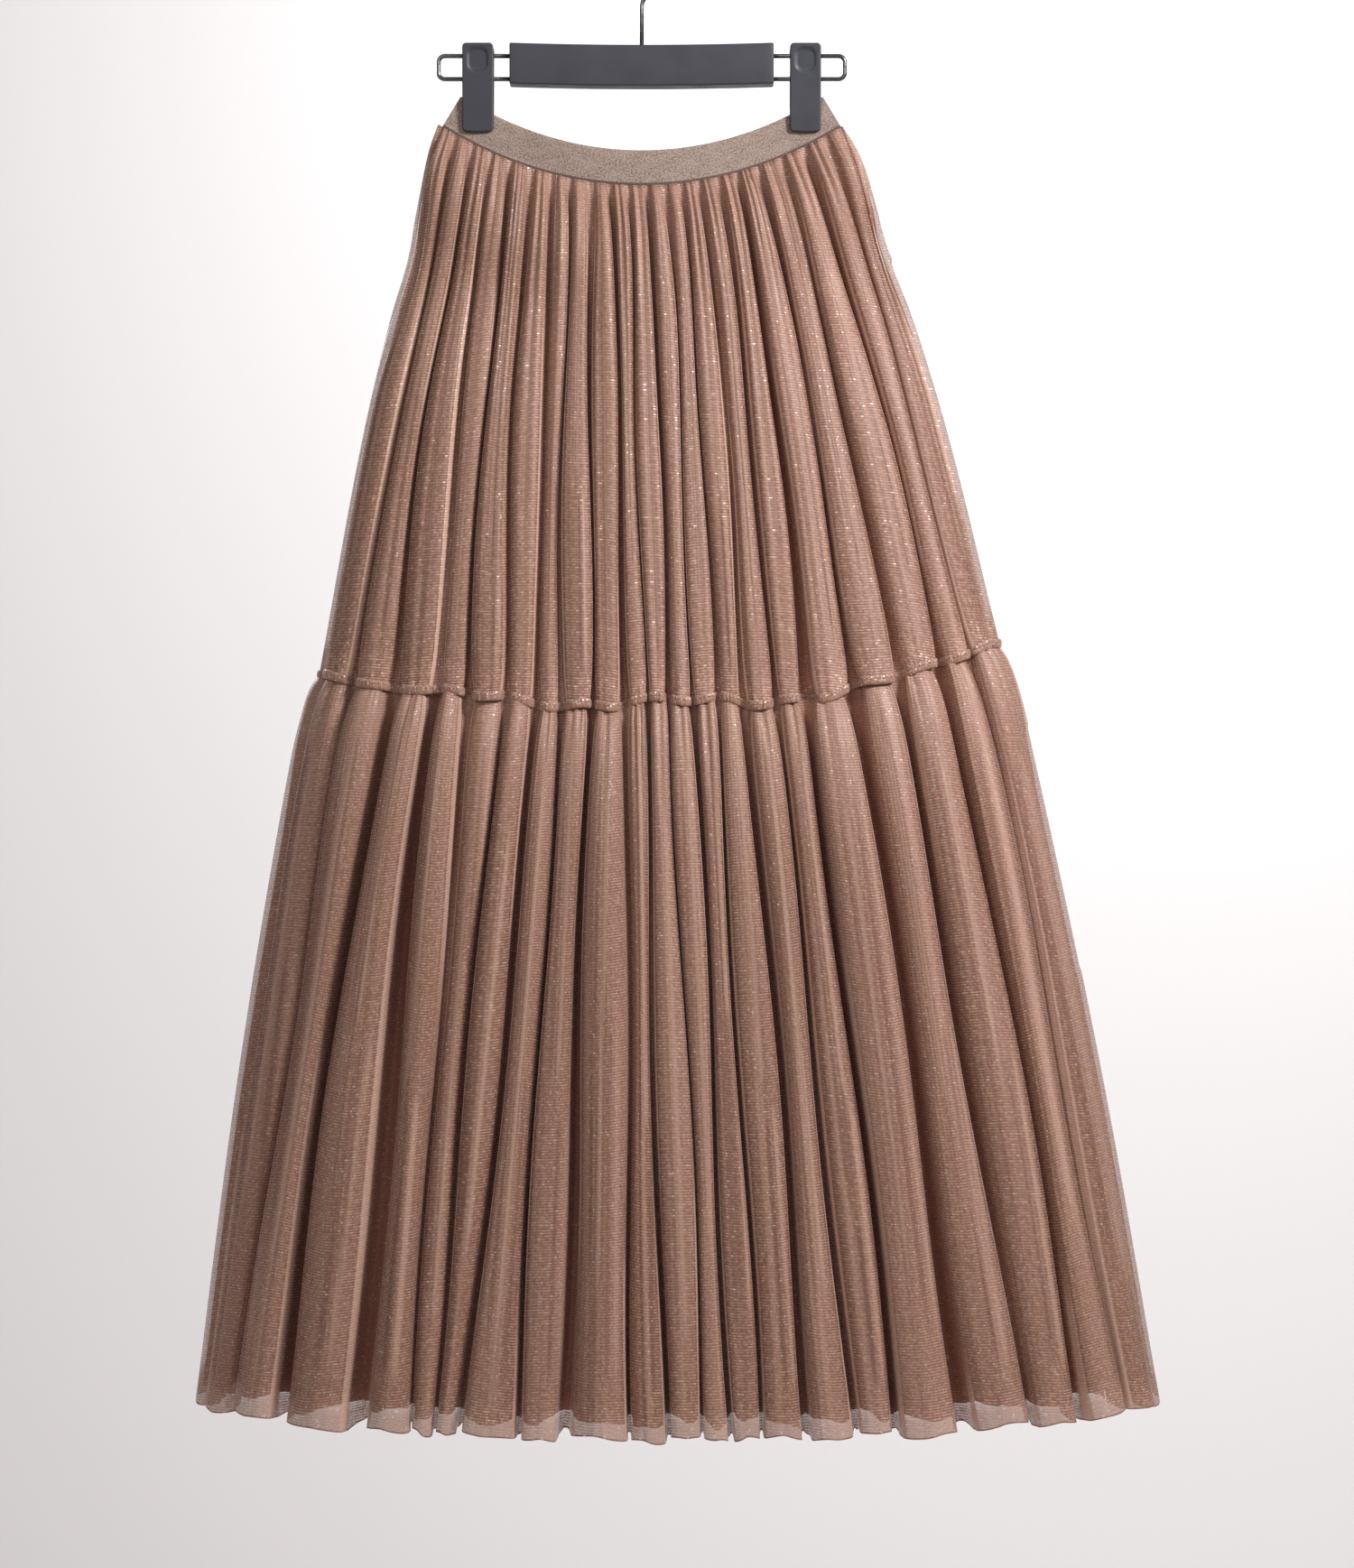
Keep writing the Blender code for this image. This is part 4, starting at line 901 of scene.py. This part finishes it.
def lay_lines_and_moire(net, down, tones, streaks):
    """Fine crease lines, where the streaks pass a multiple of one step, each with a painted highlight on
    one side and painted shade on the other, and dark bands of moire that show in patches."""
    # Painted highlight beside each fine crease line, and painted shade on it.
    highlight_line_distance = net.maths("PINGPONG", net.maths("ADD", streaks, 0.009), LINE_STEP)
    net.coat(net.fade(highlight_line_distance, 0.012, 0.0, 0.0, 0.24), PALE_SHADE)
    shade_line_distance = net.maths("PINGPONG", streaks, LINE_STEP)
    net.coat(net.fade(shade_line_distance, 0.008, 0.0, 0.0, 0.30), DEEP_SHADE)
    moire = net.wave(net.scaled(down, 1 / MOIRE_PERIOD, net.times(streaks, MOIRE_WANDER)))
    patches = net.fade(tones, 0.44, 0.60, 0.05, 0.30)
    net.coat(net.times(net.fade(moire, -0.4, 1.0), patches), DEEP_SHADE)


def lay_fold_marks(net, looks, see_through):
    """The marks of the folds, most of them painted light: a painted highlight on the edges of their
    faces, the long creases' lines as a painted highlight at one side and painted shade at the other,
    hollows painted paler and redder for the light through the net, paler net towards the top of each
    tier, and painted shade along the top rims, with a darker raw hem edge on the outer ply. The under ply
    gets painted shade beyond the edges of its faces. Gives the face-edge highlight and the rims."""
    face_edge_highlight = net.times(net.fade(looks["lip"], 0.68, 0.76), net.fade(looks["lip"], 1.00, 0.90))
    face_edge_highlight = net.times(face_edge_highlight, looks["edge"])
    rim_shade_and_raw_hem = net.fade(looks["head"], 0.003, 0.0)
    if see_through:
        rim_shade_and_raw_hem = net.maths("MAXIMUM", net.fade(looks["foot"], 0.0014, 0.0004), rim_shade_and_raw_hem)
    else:
        # Painted shade on the under ply beyond the edges of its faces, moved from fold to fold, as if a
        # deeper layer lay behind.
        net.coat(net.fade(looks["lip"], 0.97, 1.05, 0.0, 0.30), DEEP_SHADE)
    # Painted highlight on the edges of the fold faces.
    net.coat(net.times(face_edge_highlight, 0.80), PALE_SHADE)
    # The long creases' lines: a painted highlight at their right and painted shade at their left.
    net.coat(net.fade(looks["line"], 0.35, 0.90, 0.0, 0.60), PALE_SHADE)
    net.coat(net.fade(looks["line"], -0.35, -0.90, 0.0, 0.50), DEEP_SHADE)
    # Painted light: the hollows are painted paler and redder for the light that passes through the net.
    net.coat(net.fade(looks["hollow"], 0.50, 0.95, 0.0, 0.75), PAINTED_HOLLOW_LIGHT)
    # Paler towards the top of each tier, over its first 110 mm.
    net.coat(net.fade(looks["head"], 0.110, 0.004, 0.0, 0.24), PALE_SHADE)
    # Painted shade along the top rim of each tier, under the waistband or the seam ridge; on the outer
    # ply the raw hem edge is darker too.
    net.coat(net.times(rim_shade_and_raw_hem, 0.60), DEEP_SHADE)
    return face_edge_highlight, rim_shade_and_raw_hem


def net_finish(name, cover, course):
    """Soft net: rows of fine stitches that break into short dashes, fine crease lines with a painted
    highlight and painted shade, and patches of moire. Much of its colour is painted light: the hollows
    are painted paler and redder for the light that passes through the net, the edges of the fold faces
    carry a painted highlight, and painted shade lies along the long creases, the tops of the tiers and,
    on the under ply, beyond the edges of its faces. It is paler towards the top of each tier. Some
    stitches of metallic yarn glitter, more of them on the painted highlights. The outer ply is partly
    clear, by its cover, and more so between its stitches; a cover of 1 is the ply under it."""
    net = Finish(name)
    cloth, across, down = weave_coordinates(net)
    looks = {key: net.node("ShaderNodeAttribute", {}, attribute_name=key).outputs["Fac"]
             for key in ("hollow", "edge", "line", "lip", "foot", "head")}
    tones = net.noise(cloth, (24.0, 1.6, 1.0), 0.0, 0.5, "2D")
    streaks = net.noise(cloth, (150.0, 0.7, 1.0), 1.0, 0.60, "2D")
    stitch_row, sparkle, paleness, darkness = stitch_rows(net, across, down, tones, course)
    net.coat(net.fade(tones, 0.30, 0.70), MID_SHADE, below=DARK_SHADE)
    lay_lines_and_moire(net, down, tones, streaks)
    gaps = net.times(net.maths("SUBTRACT", 1.0, stitch_row), darkness)
    net.coat(net.times(gaps, 0.30), DEEP_SHADE)
    net.coat(net.times(net.times(stitch_row, paleness), 0.72), PALE_SHADE)
    face_edge_highlight, rim_shade_and_raw_hem = lay_fold_marks(net, looks, cover < 1)
    # More stitches glitter on the painted highlight of the face edges.
    chance = net.scaled(face_edge_highlight, -0.10, 0.975)
    glitter = net.times(stitch_row, net.maths("GREATER_THAN", sparkle, chance))
    net.coat(glitter, GLITTER_SHADE)
    if cover == 1:
        net.surface(roughness=0.50)
        return net.material

    threads = net.scaled(stitch_row, 0.24, net.times(paleness, 0.14))
    shown = net.maths("ADD", threads, cover - 0.19)
    shown = net.scaled(face_edge_highlight, 0.35, shown)
    shown = net.scaled(rim_shade_and_raw_hem, 0.30, shown)
    shown = net.maths("ADD", shown, net.fade(looks["foot"], 0.030, 0.008, 0.0, 0.32))
    held = net.node("ShaderNodeClamp", {"Value": shown, "Min": 0.02, "Max": 1.0})
    net.surface(roughness=0.50, metallic=net.times(glitter, 0.5), sheen_weight=0.30,
                sheen_roughness=0.35, sheen_tint=(1.0, 0.92, 0.89, 1.0), alpha=held.outputs[0],
                normal=net.bumps(streaks, 0.50, 0.0040))
    return net.material


def panel_columns(first_fold, folds, points_per_fold):
    """The columns of a run of folds, with the first one of the fold after them."""
    columns = np.arange(first_fold * points_per_fold, (first_fold + folds) * points_per_fold + 1)
    return columns % (ALL_FOLDS * points_per_fold)


def hang_net(name, node, finish, plan, heights, looks, first_fold, folds, aside=0.0):
    """One panel of a ply, from its first fold on, with its thread coordinates, its looks, where each
    point lies on its fold, and its distances from the tier's two edges. Aside is the angle by which the
    lines on the faces are moved at most, by a sine from fold to fold, as a second ply folds elsewhere."""
    points_per_fold = plan.shape[1] // ALL_FOLDS
    columns = panel_columns(first_fold, folds, points_per_fold)
    order = first_fold + np.arange(folds + 1)[:, None]
    turned = fold_angles()[::FOLD_POINTS // points_per_fold] - aside * np.sin(2.4 * order)
    fold_lips = np.abs((turned + math.pi) % (2 * math.pi) - math.pi) / (math.pi / 2)
    grid = np.concatenate([plan, heights[..., None]], axis=-1)[:, columns]
    made = skin_piece(name, grid, finish, node, closed=False)
    run = np.linalg.norm(np.diff(grid[-1], axis=0), axis=1)
    across = np.concatenate([[0], np.cumsum(run)])[None] + 0.37 * first_fold
    heights = heights[:, columns]
    hollow, edge, line = looks[:, :, columns]
    lay_weave(made, across, -heights, hollow=hollow, edge=edge, line=line,
              foot=heights - heights[-1:], head=heights[:1] - heights,
              lip=fold_lips.reshape(1, -1)[:, :heights.shape[1]] + 0 * heights)
    return made


def hang_tier(tier, cut_widths, plans, heights, looks):
    """The front and back panels of a tier's outer and under ply. The sizes they were cut to are not used.
    The under ply has every second point of the outer one."""
    for (side, *folds), cut_width in zip(PANELS, cut_widths):
        outer = hang_net(f"{tier}_net_outer_{side}", f"{tier}_tier_{side}", outer_net,
                         plans[0], heights[0], looks, *folds)
        under = hang_net(f"{tier}_net_under_{side}", None, under_net,
                         plans[1][::2, ::2], heights[1][::2, ::2], looks[:, ::2, ::2], *folds,
                         UNDER_ASIDE)


# The small gathers of a tier: their depth at its top edge, how much deeper they swell and by what share
# of the way down, how far its folds are pinched at the edge with a rounded shoulder below, how much
# wider the slots are just below its top seam and just above its foot seam, and how much deeper the
# folds are near the top.
Gathers = namedtuple("Gathers", "edge depth swell pinch shoulder gap_above gap_below early")
upper_drops = 0.55 * np.linspace(0, 1, UPPER_ROWS) ** 1.5 + 0.45 * np.linspace(0, 1, UPPER_ROWS)
upper_gathers = Gathers(edge=0.0026, depth=0.0012, swell=0.05, pinch=0.0, shoulder=0.05,
                        gap_above=0.0, gap_below=0.09, early=0.0024)
upper_plan, upper_looks = folded_plan(UPPER_SECTIONS, ("waist", "seam", "upper_open"), upper_drops,
                                      UPPER_HABIT, upper_gathers, UPPER_CREASES)
upper_top = waist_height(upper_plan[:1, :, 0]) + NET_UNDER_BAND
upper_heights = upper_top + (seam_height(upper_plan[-1:, :, 0]) - upper_top) * upper_drops[:, None]
upper_under = inside_plan(upper_plan, UPPER_SECTIONS, upper_drops)
outer_net = net_finish("net_outer_ply", cover=0.52, course=0.00190)
under_net = net_finish("net_under_ply", cover=1.0, course=0.00212)
hang_tier("upper", (1.00, 0.88),
          (upper_plan, upper_under), (upper_heights, upper_heights), upper_looks)

# ---- Lower tier -------------------------------------------------------------------------------------
# The same net in two plies, cut longer and fuller and gathered to the foot of the upper tier. It swells
# at once into large fluted folds. The hems are raw, and the inner ply ends a little above the outer.

LOWER_ROWS = 96
OUTER_HEM_UNEVEN, UNDER_HEM_UNEVEN, UNDER_HEM_RISE, TUCKED_RISE = 0.0042, 0.0075, 0.0058, 0.0045
LOWER_CREASES = (
    Crease(-0.960, -0.970, 0.00, 0.80, 0.0022, 0.0042),
    Crease(-0.930, -0.915, 0.30, 1.00, -0.0018, 0.0050),
    Crease(-0.850, -0.893, 0.00, 0.90, 0.0026, 0.0044),
    Crease(-0.740, -0.765, 0.00, 0.55, 0.0028, 0.0040),
    Crease(-0.700, -0.745, 0.40, 1.00, 0.0024, 0.0050),
    Crease(-0.618, -0.630, 0.00, 0.75, 0.0026, 0.0044),
    Crease(-0.590, -0.602, 0.50, 1.00, -0.0018, 0.0048),
    Crease(-0.520, -0.534, 0.05, 0.95, 0.0028, 0.0042),
    Crease(-0.480, -0.500, 0.00, 0.45, 0.0022, 0.0036),
    Crease(-0.400, -0.485, 0.10, 0.85, 0.0024, 0.0040),
    Crease(-0.322, -0.400, 0.00, 1.00, 0.0030, 0.0044),
    Crease(-0.300, -0.358, 0.45, 1.00, -0.0018, 0.0044),
    Crease(-0.250, -0.290, 0.00, 0.60, 0.0026, 0.0040),
    Crease(-0.225, -0.262, 0.50, 1.00, 0.0022, 0.0042),
    Crease(-0.150, -0.185, 0.00, 0.92, 0.0030, 0.0046),
    Crease(-0.120, -0.138, 0.35, 1.00, -0.0020, 0.0044),
    Crease(-0.062, -0.060, 0.00, 0.70, 0.0026, 0.0040),
    Crease(-0.045, -0.038, 0.55, 1.00, 0.0022, 0.0040),
    Crease(0.000, 0.018, 0.05, 1.00, 0.0026, 0.0038),
    Crease(0.068, 0.080, 0.00, 0.85, 0.0028, 0.0040),
    Crease(0.140, 0.142, 0.00, 1.00, 0.0028, 0.0042),
    Crease(0.158, 0.158, 0.40, 0.90, -0.0018, 0.0038),
    Crease(0.212, 0.215, 0.00, 0.62, 0.0026, 0.0040),
    Crease(0.228, 0.242, 0.50, 1.00, 0.0022, 0.0042),
    Crease(0.298, 0.322, 0.00, 0.95, 0.0030, 0.0044),
    Crease(0.388, 0.415, 0.00, 0.78, 0.0026, 0.0042),
    Crease(0.405, 0.430, 0.50, 1.00, -0.0018, 0.0044),
    Crease(0.485, 0.505, 0.05, 0.88, 0.0028, 0.0044),
    Crease(0.530, 0.555, 0.00, 1.00, 0.0024, 0.0048),
    Crease(0.620, 0.648, 0.00, 0.66, 0.0028, 0.0044),
    Crease(0.660, 0.690, 0.40, 1.00, 0.0026, 0.0050),
    Crease(0.752, 0.775, 0.00, 0.90, 0.0030, 0.0046),
    Crease(0.790, 0.806, 0.45, 1.00, -0.0018, 0.0050),
    Crease(0.870, 0.880, 0.00, 0.85, 0.0026, 0.0046),
    Crease(0.958, 0.965, 0.05, 0.95, 0.0022, 0.0044),
)
LOWER_HABIT = fold_habits(depth=(0.92, 0.20), lean=0.09, tilt=0.45, run=(0.12, 0.07),
                          kept=(0.12, 0.10))


def raw_hem(reach):
    """A raw edge that rises and falls by a few millimetres: a sum of three sines round the ring."""
    columns = ALL_FOLDS * FOLD_POINTS
    around = np.arange(columns) / columns * 2 * math.pi
    return reach * (0.4 * np.sin(19 * around + 1.1) + 0.4 * np.sin(43 * around + 0.4)
                    + 0.2 * np.sin(97 * around + 2.3))


lower_drops = 0.70 * np.linspace(0, 1, LOWER_ROWS) ** 1.8 + 0.30 * np.linspace(0, 1, LOWER_ROWS)
lower_gathers = Gathers(edge=0.0022, depth=0.0010, swell=0.02, pinch=0.62, shoulder=0.040,
                        gap_above=0.13, gap_below=0.0, early=0.0)
lower_plan, lower_looks = folded_plan(LOWER_SECTIONS, ("seam", "hem", "lower_open"), lower_drops,
                                      LOWER_HABIT, lower_gathers, LOWER_CREASES)
lower_top = seam_height(lower_plan[:1, :, 0])
lower_foot = hem_height(lower_plan[-1:, :, 0])
tucked = np.tile(ease(np.abs(fold_angles()), 1.3, 2.6), ALL_FOLDS)
outer_foot = lower_foot + raw_hem(OUTER_HEM_UNEVEN) + TUCKED_RISE * tucked
outer_heights = lower_top + (outer_foot - lower_top) * lower_drops[:, None]
under_foot = lower_foot + UNDER_HEM_RISE + raw_hem(UNDER_HEM_UNEVEN)[::-1]
under_heights = lower_top + (under_foot - lower_top) * lower_drops[:, None]
lower_under = inside_plan(lower_plan, LOWER_SECTIONS, lower_drops)
hang_tier("lower", (1.75, 1.55),
          (lower_plan, lower_under), (outer_heights, under_heights), lower_looks)

# ---- Tier seam --------------------------------------------------------------------------------------
# The gathered seam allowance of both tiers, pressed up and sewn flat. It is several plies thick, so it
# shows as a narrow, denser ridge with a row of stitches, pulled up and down a little by the gathers.

RIDGE_HALF, RIDGE_THICK, RIDGE_STAND, RIDGE_POINTS = 0.0034, 0.0011, 0.0004, 12
RIDGE_STITCH, RIDGE_LINE_DROP = 0.0028, 0.0012
RIDGE_LENGTHS = (0.84, 0.74)


def seam_ridge_finish():
    """Bunched net: fine upright pleats across the ridge with painted shade in their furrows, a line of
    paler stitches, painted shade along the ridge's top and foot where it meets the cloth, and much
    glitter.
    """
    ridge = Finish("net_seam_ridge")
    cloth, across, down = weave_coordinates(ridge)
    pleats = ridge.noise(cloth, (900.0, 60.0, 1.0))
    lumps = ridge.noise(cloth, (90.0, 120.0, 1.0))
    beat = ridge.maths("FRACT", ridge.times(across, 1 / RIDGE_STITCH))
    from_line = ridge.maths("ABSOLUTE", ridge.maths("ADD", down, RIDGE_LINE_DROP))
    stitch = ridge.times(ridge.fade(beat, 0.22, 0.30), ridge.fade(from_line, 0.0005, 0.0002))
    # Painted shade in the furrows of the pleats, which the bumps also raise.
    ridge.coat(ridge.fade(pleats, 0.3, 0.7), MID_SHADE, below=DARK_SHADE)
    ridge.coat(ridge.fade(from_line, 0.0010, 0.0003), (0.16, 0.085, 0.063))
    ridge.coat(stitch, (0.47, 0.31, 0.25))
    # Painted shade along the top and foot of the ridge, where it meets the cloth.
    edge = ridge.fade(ridge.maths("ABSOLUTE", down), 0.0030, 0.0039)
    ridge.coat(ridge.times(edge, 0.4), DEEP_SHADE)
    grains = ridge.node("ShaderNodeMapping", {"Vector": cloth, "Scale": (1300.0, 1300.0, 1.0)})
    cells = ridge.node("ShaderNodeTexVoronoi", {"Vector": grains.outputs[0], "Scale": 1.0})
    glitter = ridge.fade(ridge.parts(cells.outputs["Color"])[0], 0.90, 0.93)
    ridge.coat(glitter, (0.86, 0.66, 0.56))
    relief = ridge.maths("ADD", pleats, ridge.scaled(stitch, 0.5, lumps))
    ridge.surface(metallic=ridge.times(glitter, 0.8), roughness=0.5, sheen_weight=0.25,
                  normal=ridge.bumps(relief, 0.8, 0.0012))
    return ridge.material


def ridge_points(line, normals, middles, turn):
    """A thin oval carried along the seam: thickness * cos t out of the cloth and half height * sin t up
    it, with small swellings along it."""
    swell = 1 + 0.22 * np.sin(np.arange(len(line)) * 1.9) + 0.15 * np.sin(np.arange(len(line)) * 0.83)
    out = RIDGE_THICK * swell[:, None] * np.cos(turn)
    plan = line[:, None] + normals[:, None] * (out[..., None] + RIDGE_STAND)
    up = middles[:, None] + RIDGE_HALF * np.sin(turn)
    return np.concatenate([plan, up[..., None]], axis=-1)


ridge_finish = seam_ridge_finish()
seam_line = upper_plan[-1]
seam_ahead = np.roll(seam_line, -1, axis=0) - np.roll(seam_line, 1, axis=0)
seam_ahead /= np.linalg.norm(seam_ahead, axis=1)[:, None]
seam_normals = np.column_stack([seam_ahead[:, 1], -seam_ahead[:, 0]])
ridge_turn = np.linspace(-math.pi, math.pi, RIDGE_POINTS, endpoint=False)
for (side, first, folds), length in zip(PANELS, RIDGE_LENGTHS):
    taken = panel_columns(first, folds, FOLD_POINTS)
    grid = ridge_points(seam_line[taken], seam_normals[taken], seam_height(seam_line[taken, 0]),
                        ridge_turn)
    made = skin_piece(f"seam_ridge_{side}", grid, ridge_finish, f"seam_tape_{side}")
    run = np.concatenate([[0], np.cumsum(np.linalg.norm(np.diff(grid[:, 0], axis=0), axis=1))])
    lay_weave(made, run[:, None], -RIDGE_HALF * np.sin(ridge_turn)[None])

# ---- Waistband --------------------------------------------------------------------------------------
# A flat band of elastic covered in taupe knit, folded over at its top edge and joined to the gathered
# net by one seam along its lower edge. The clips grip it near both ends, and it sags between them.

BAND_WALL, BAND_HEIGHT, BAND_HALF_LENGTH = 0.0022, 0.0263, 0.137
BAND_Z, BAND_SAG, BAND_FOLD_SHARE = BAR_TOP - 0.0887, 2.2, 0.965
BAND_ALONG, BAND_LOOP, RIB_SPACING = 180, 40, 0.0011
# One row for each level of the band: how far down it is, how far it bulges off the hanger's plane
# between the clips and how far it stands off under them.
BandRow = namedtuple("BandRow", "drop slack press")
BAND_ROWS = (BandRow(0.0, 0.0052, 0.0), BandRow(0.85, 0.0068, 0.0), BandRow(1.0, 0.0072, 0.0012))
# One row for each soft dent in the band: where it lies from -1 to 1, its reach and its depth.
BandDent = namedtuple("BandDent", "place reach depth")
BAND_DENTS = (BandDent(-0.60, 0.09, 0.0011), BandDent(0.52, 0.12, 0.0006))


def covered_elastic():
    """Taupe knit over elastic: a fine fleck, faint ribs along it and painted shade along its lower edge,
    where it meets the net in the seam.
    """
    knit = Finish("covered_elastic")
    cloth, _, down = weave_coordinates(knit)
    fleck = knit.noise(cloth, (650.0, 850.0, 1.0), 2.0, 0.75)
    soft = knit.noise(cloth, (60.0, 130.0, 1.0), 3.0)
    ribs = knit.wave(down, RIB_SPACING)
    knit.coat(knit.fade(fleck, 0.36, 0.64), (0.390, 0.298, 0.252), below=(0.150, 0.103, 0.081))
    knit.coat(knit.times(knit.fade(soft, 0.4, 0.7), 0.30), (0.43, 0.34, 0.29))
    knit.coat(knit.scaled(ribs, 0.05, 0.05), (0.15, 0.10, 0.08))
    # Painted shade along the lower edge, where the band meets the net in the seam.
    edge = knit.fade(down, BAND_HEIGHT - 0.0030, BAND_HEIGHT - 0.0020)
    knit.coat(knit.times(edge, 0.85), (0.07, 0.040, 0.030))
    relief = knit.maths("ADD", fleck, knit.scaled(ribs, 0.15, soft))
    knit.surface(roughness=0.82, sheen_weight=0.20, normal=knit.bumps(relief, 0.45, 0.0004))
    return knit.material


def band_points(way):
    """Loops round the band's section carried along it. The middle line is z = lowest + sag * x^2 and the
    height is square to it. The two faces lie a wall apart, rounded over at both edges, and bulge off
    the hanger's plane by the slack between the clips, less a few dents, each exp(-(distance /
    reach)^2). The ends close in a quarter circle."""
    along = np.sin(np.linspace(-math.pi / 2, math.pi / 2, BAND_ALONG + 1))[:, None]
    x = BAND_HALF_LENGTH * along
    turn = np.linspace(0, 2 * math.pi, BAND_LOOP, endpoint=False)[None]
    squared = np.abs(np.sin(turn)) ** 0.35 * np.sign(np.sin(turn))
    drop = np.clip(0.5 - 0.5 * squared, 0, 1)
    layer = 0.5 + 0.5 * np.abs(np.cos(turn)) ** 0.8 * np.sign(np.cos(turn))
    drops = [row.drop for row in BAND_ROWS]
    slack = np.interp(drop, drops, [row.slack for row in BAND_ROWS])
    press = np.interp(drop, drops, [row.press for row in BAND_ROWS])
    free = np.clip(1 - (along / CLIP_SHARE) ** 2, 0, None) ** 2
    closing = np.sqrt(1 - np.clip((np.abs(along) - BAND_FOLD_SHARE) / (1 - BAND_FOLD_SHARE), 0, 1) ** 2)
    dent = sum(dent.depth * np.exp(-((along - dent.place) / dent.reach) ** 2) for dent in BAND_DENTS)
    near = SEAM_GAP / 2 + (press + (slack - press) * free) * closing - dent * np.sin(math.pi * drop)
    reach = np.maximum(near, SEAM_GAP / 2) + BAND_WALL * layer
    slope = 2 * BAND_SAG * x
    away = (0.5 - drop) * BAND_HEIGHT / np.sqrt(1 + slope ** 2)
    grid = np.stack(np.broadcast_arrays(x - slope * away, way * reach,
                                        BAND_Z + BAND_SAG * x ** 2 + away), axis=-1)
    run = np.broadcast_to(x * (1 + 0.7 * BAND_SAG * np.abs(x)), grid.shape[:2])
    if way > 0:
        return grid[::-1], run[::-1], drop * BAND_HEIGHT
    return grid, run, drop * BAND_HEIGHT


elastic = covered_elastic()
for side, way in (("front", -1), ("back", 1)):
    grid, run, down = band_points(way)
    made = skin_piece(f"elastic_band_{side}", grid, elastic, f"waistband_{side}")
    lay_weave(made, run, down)
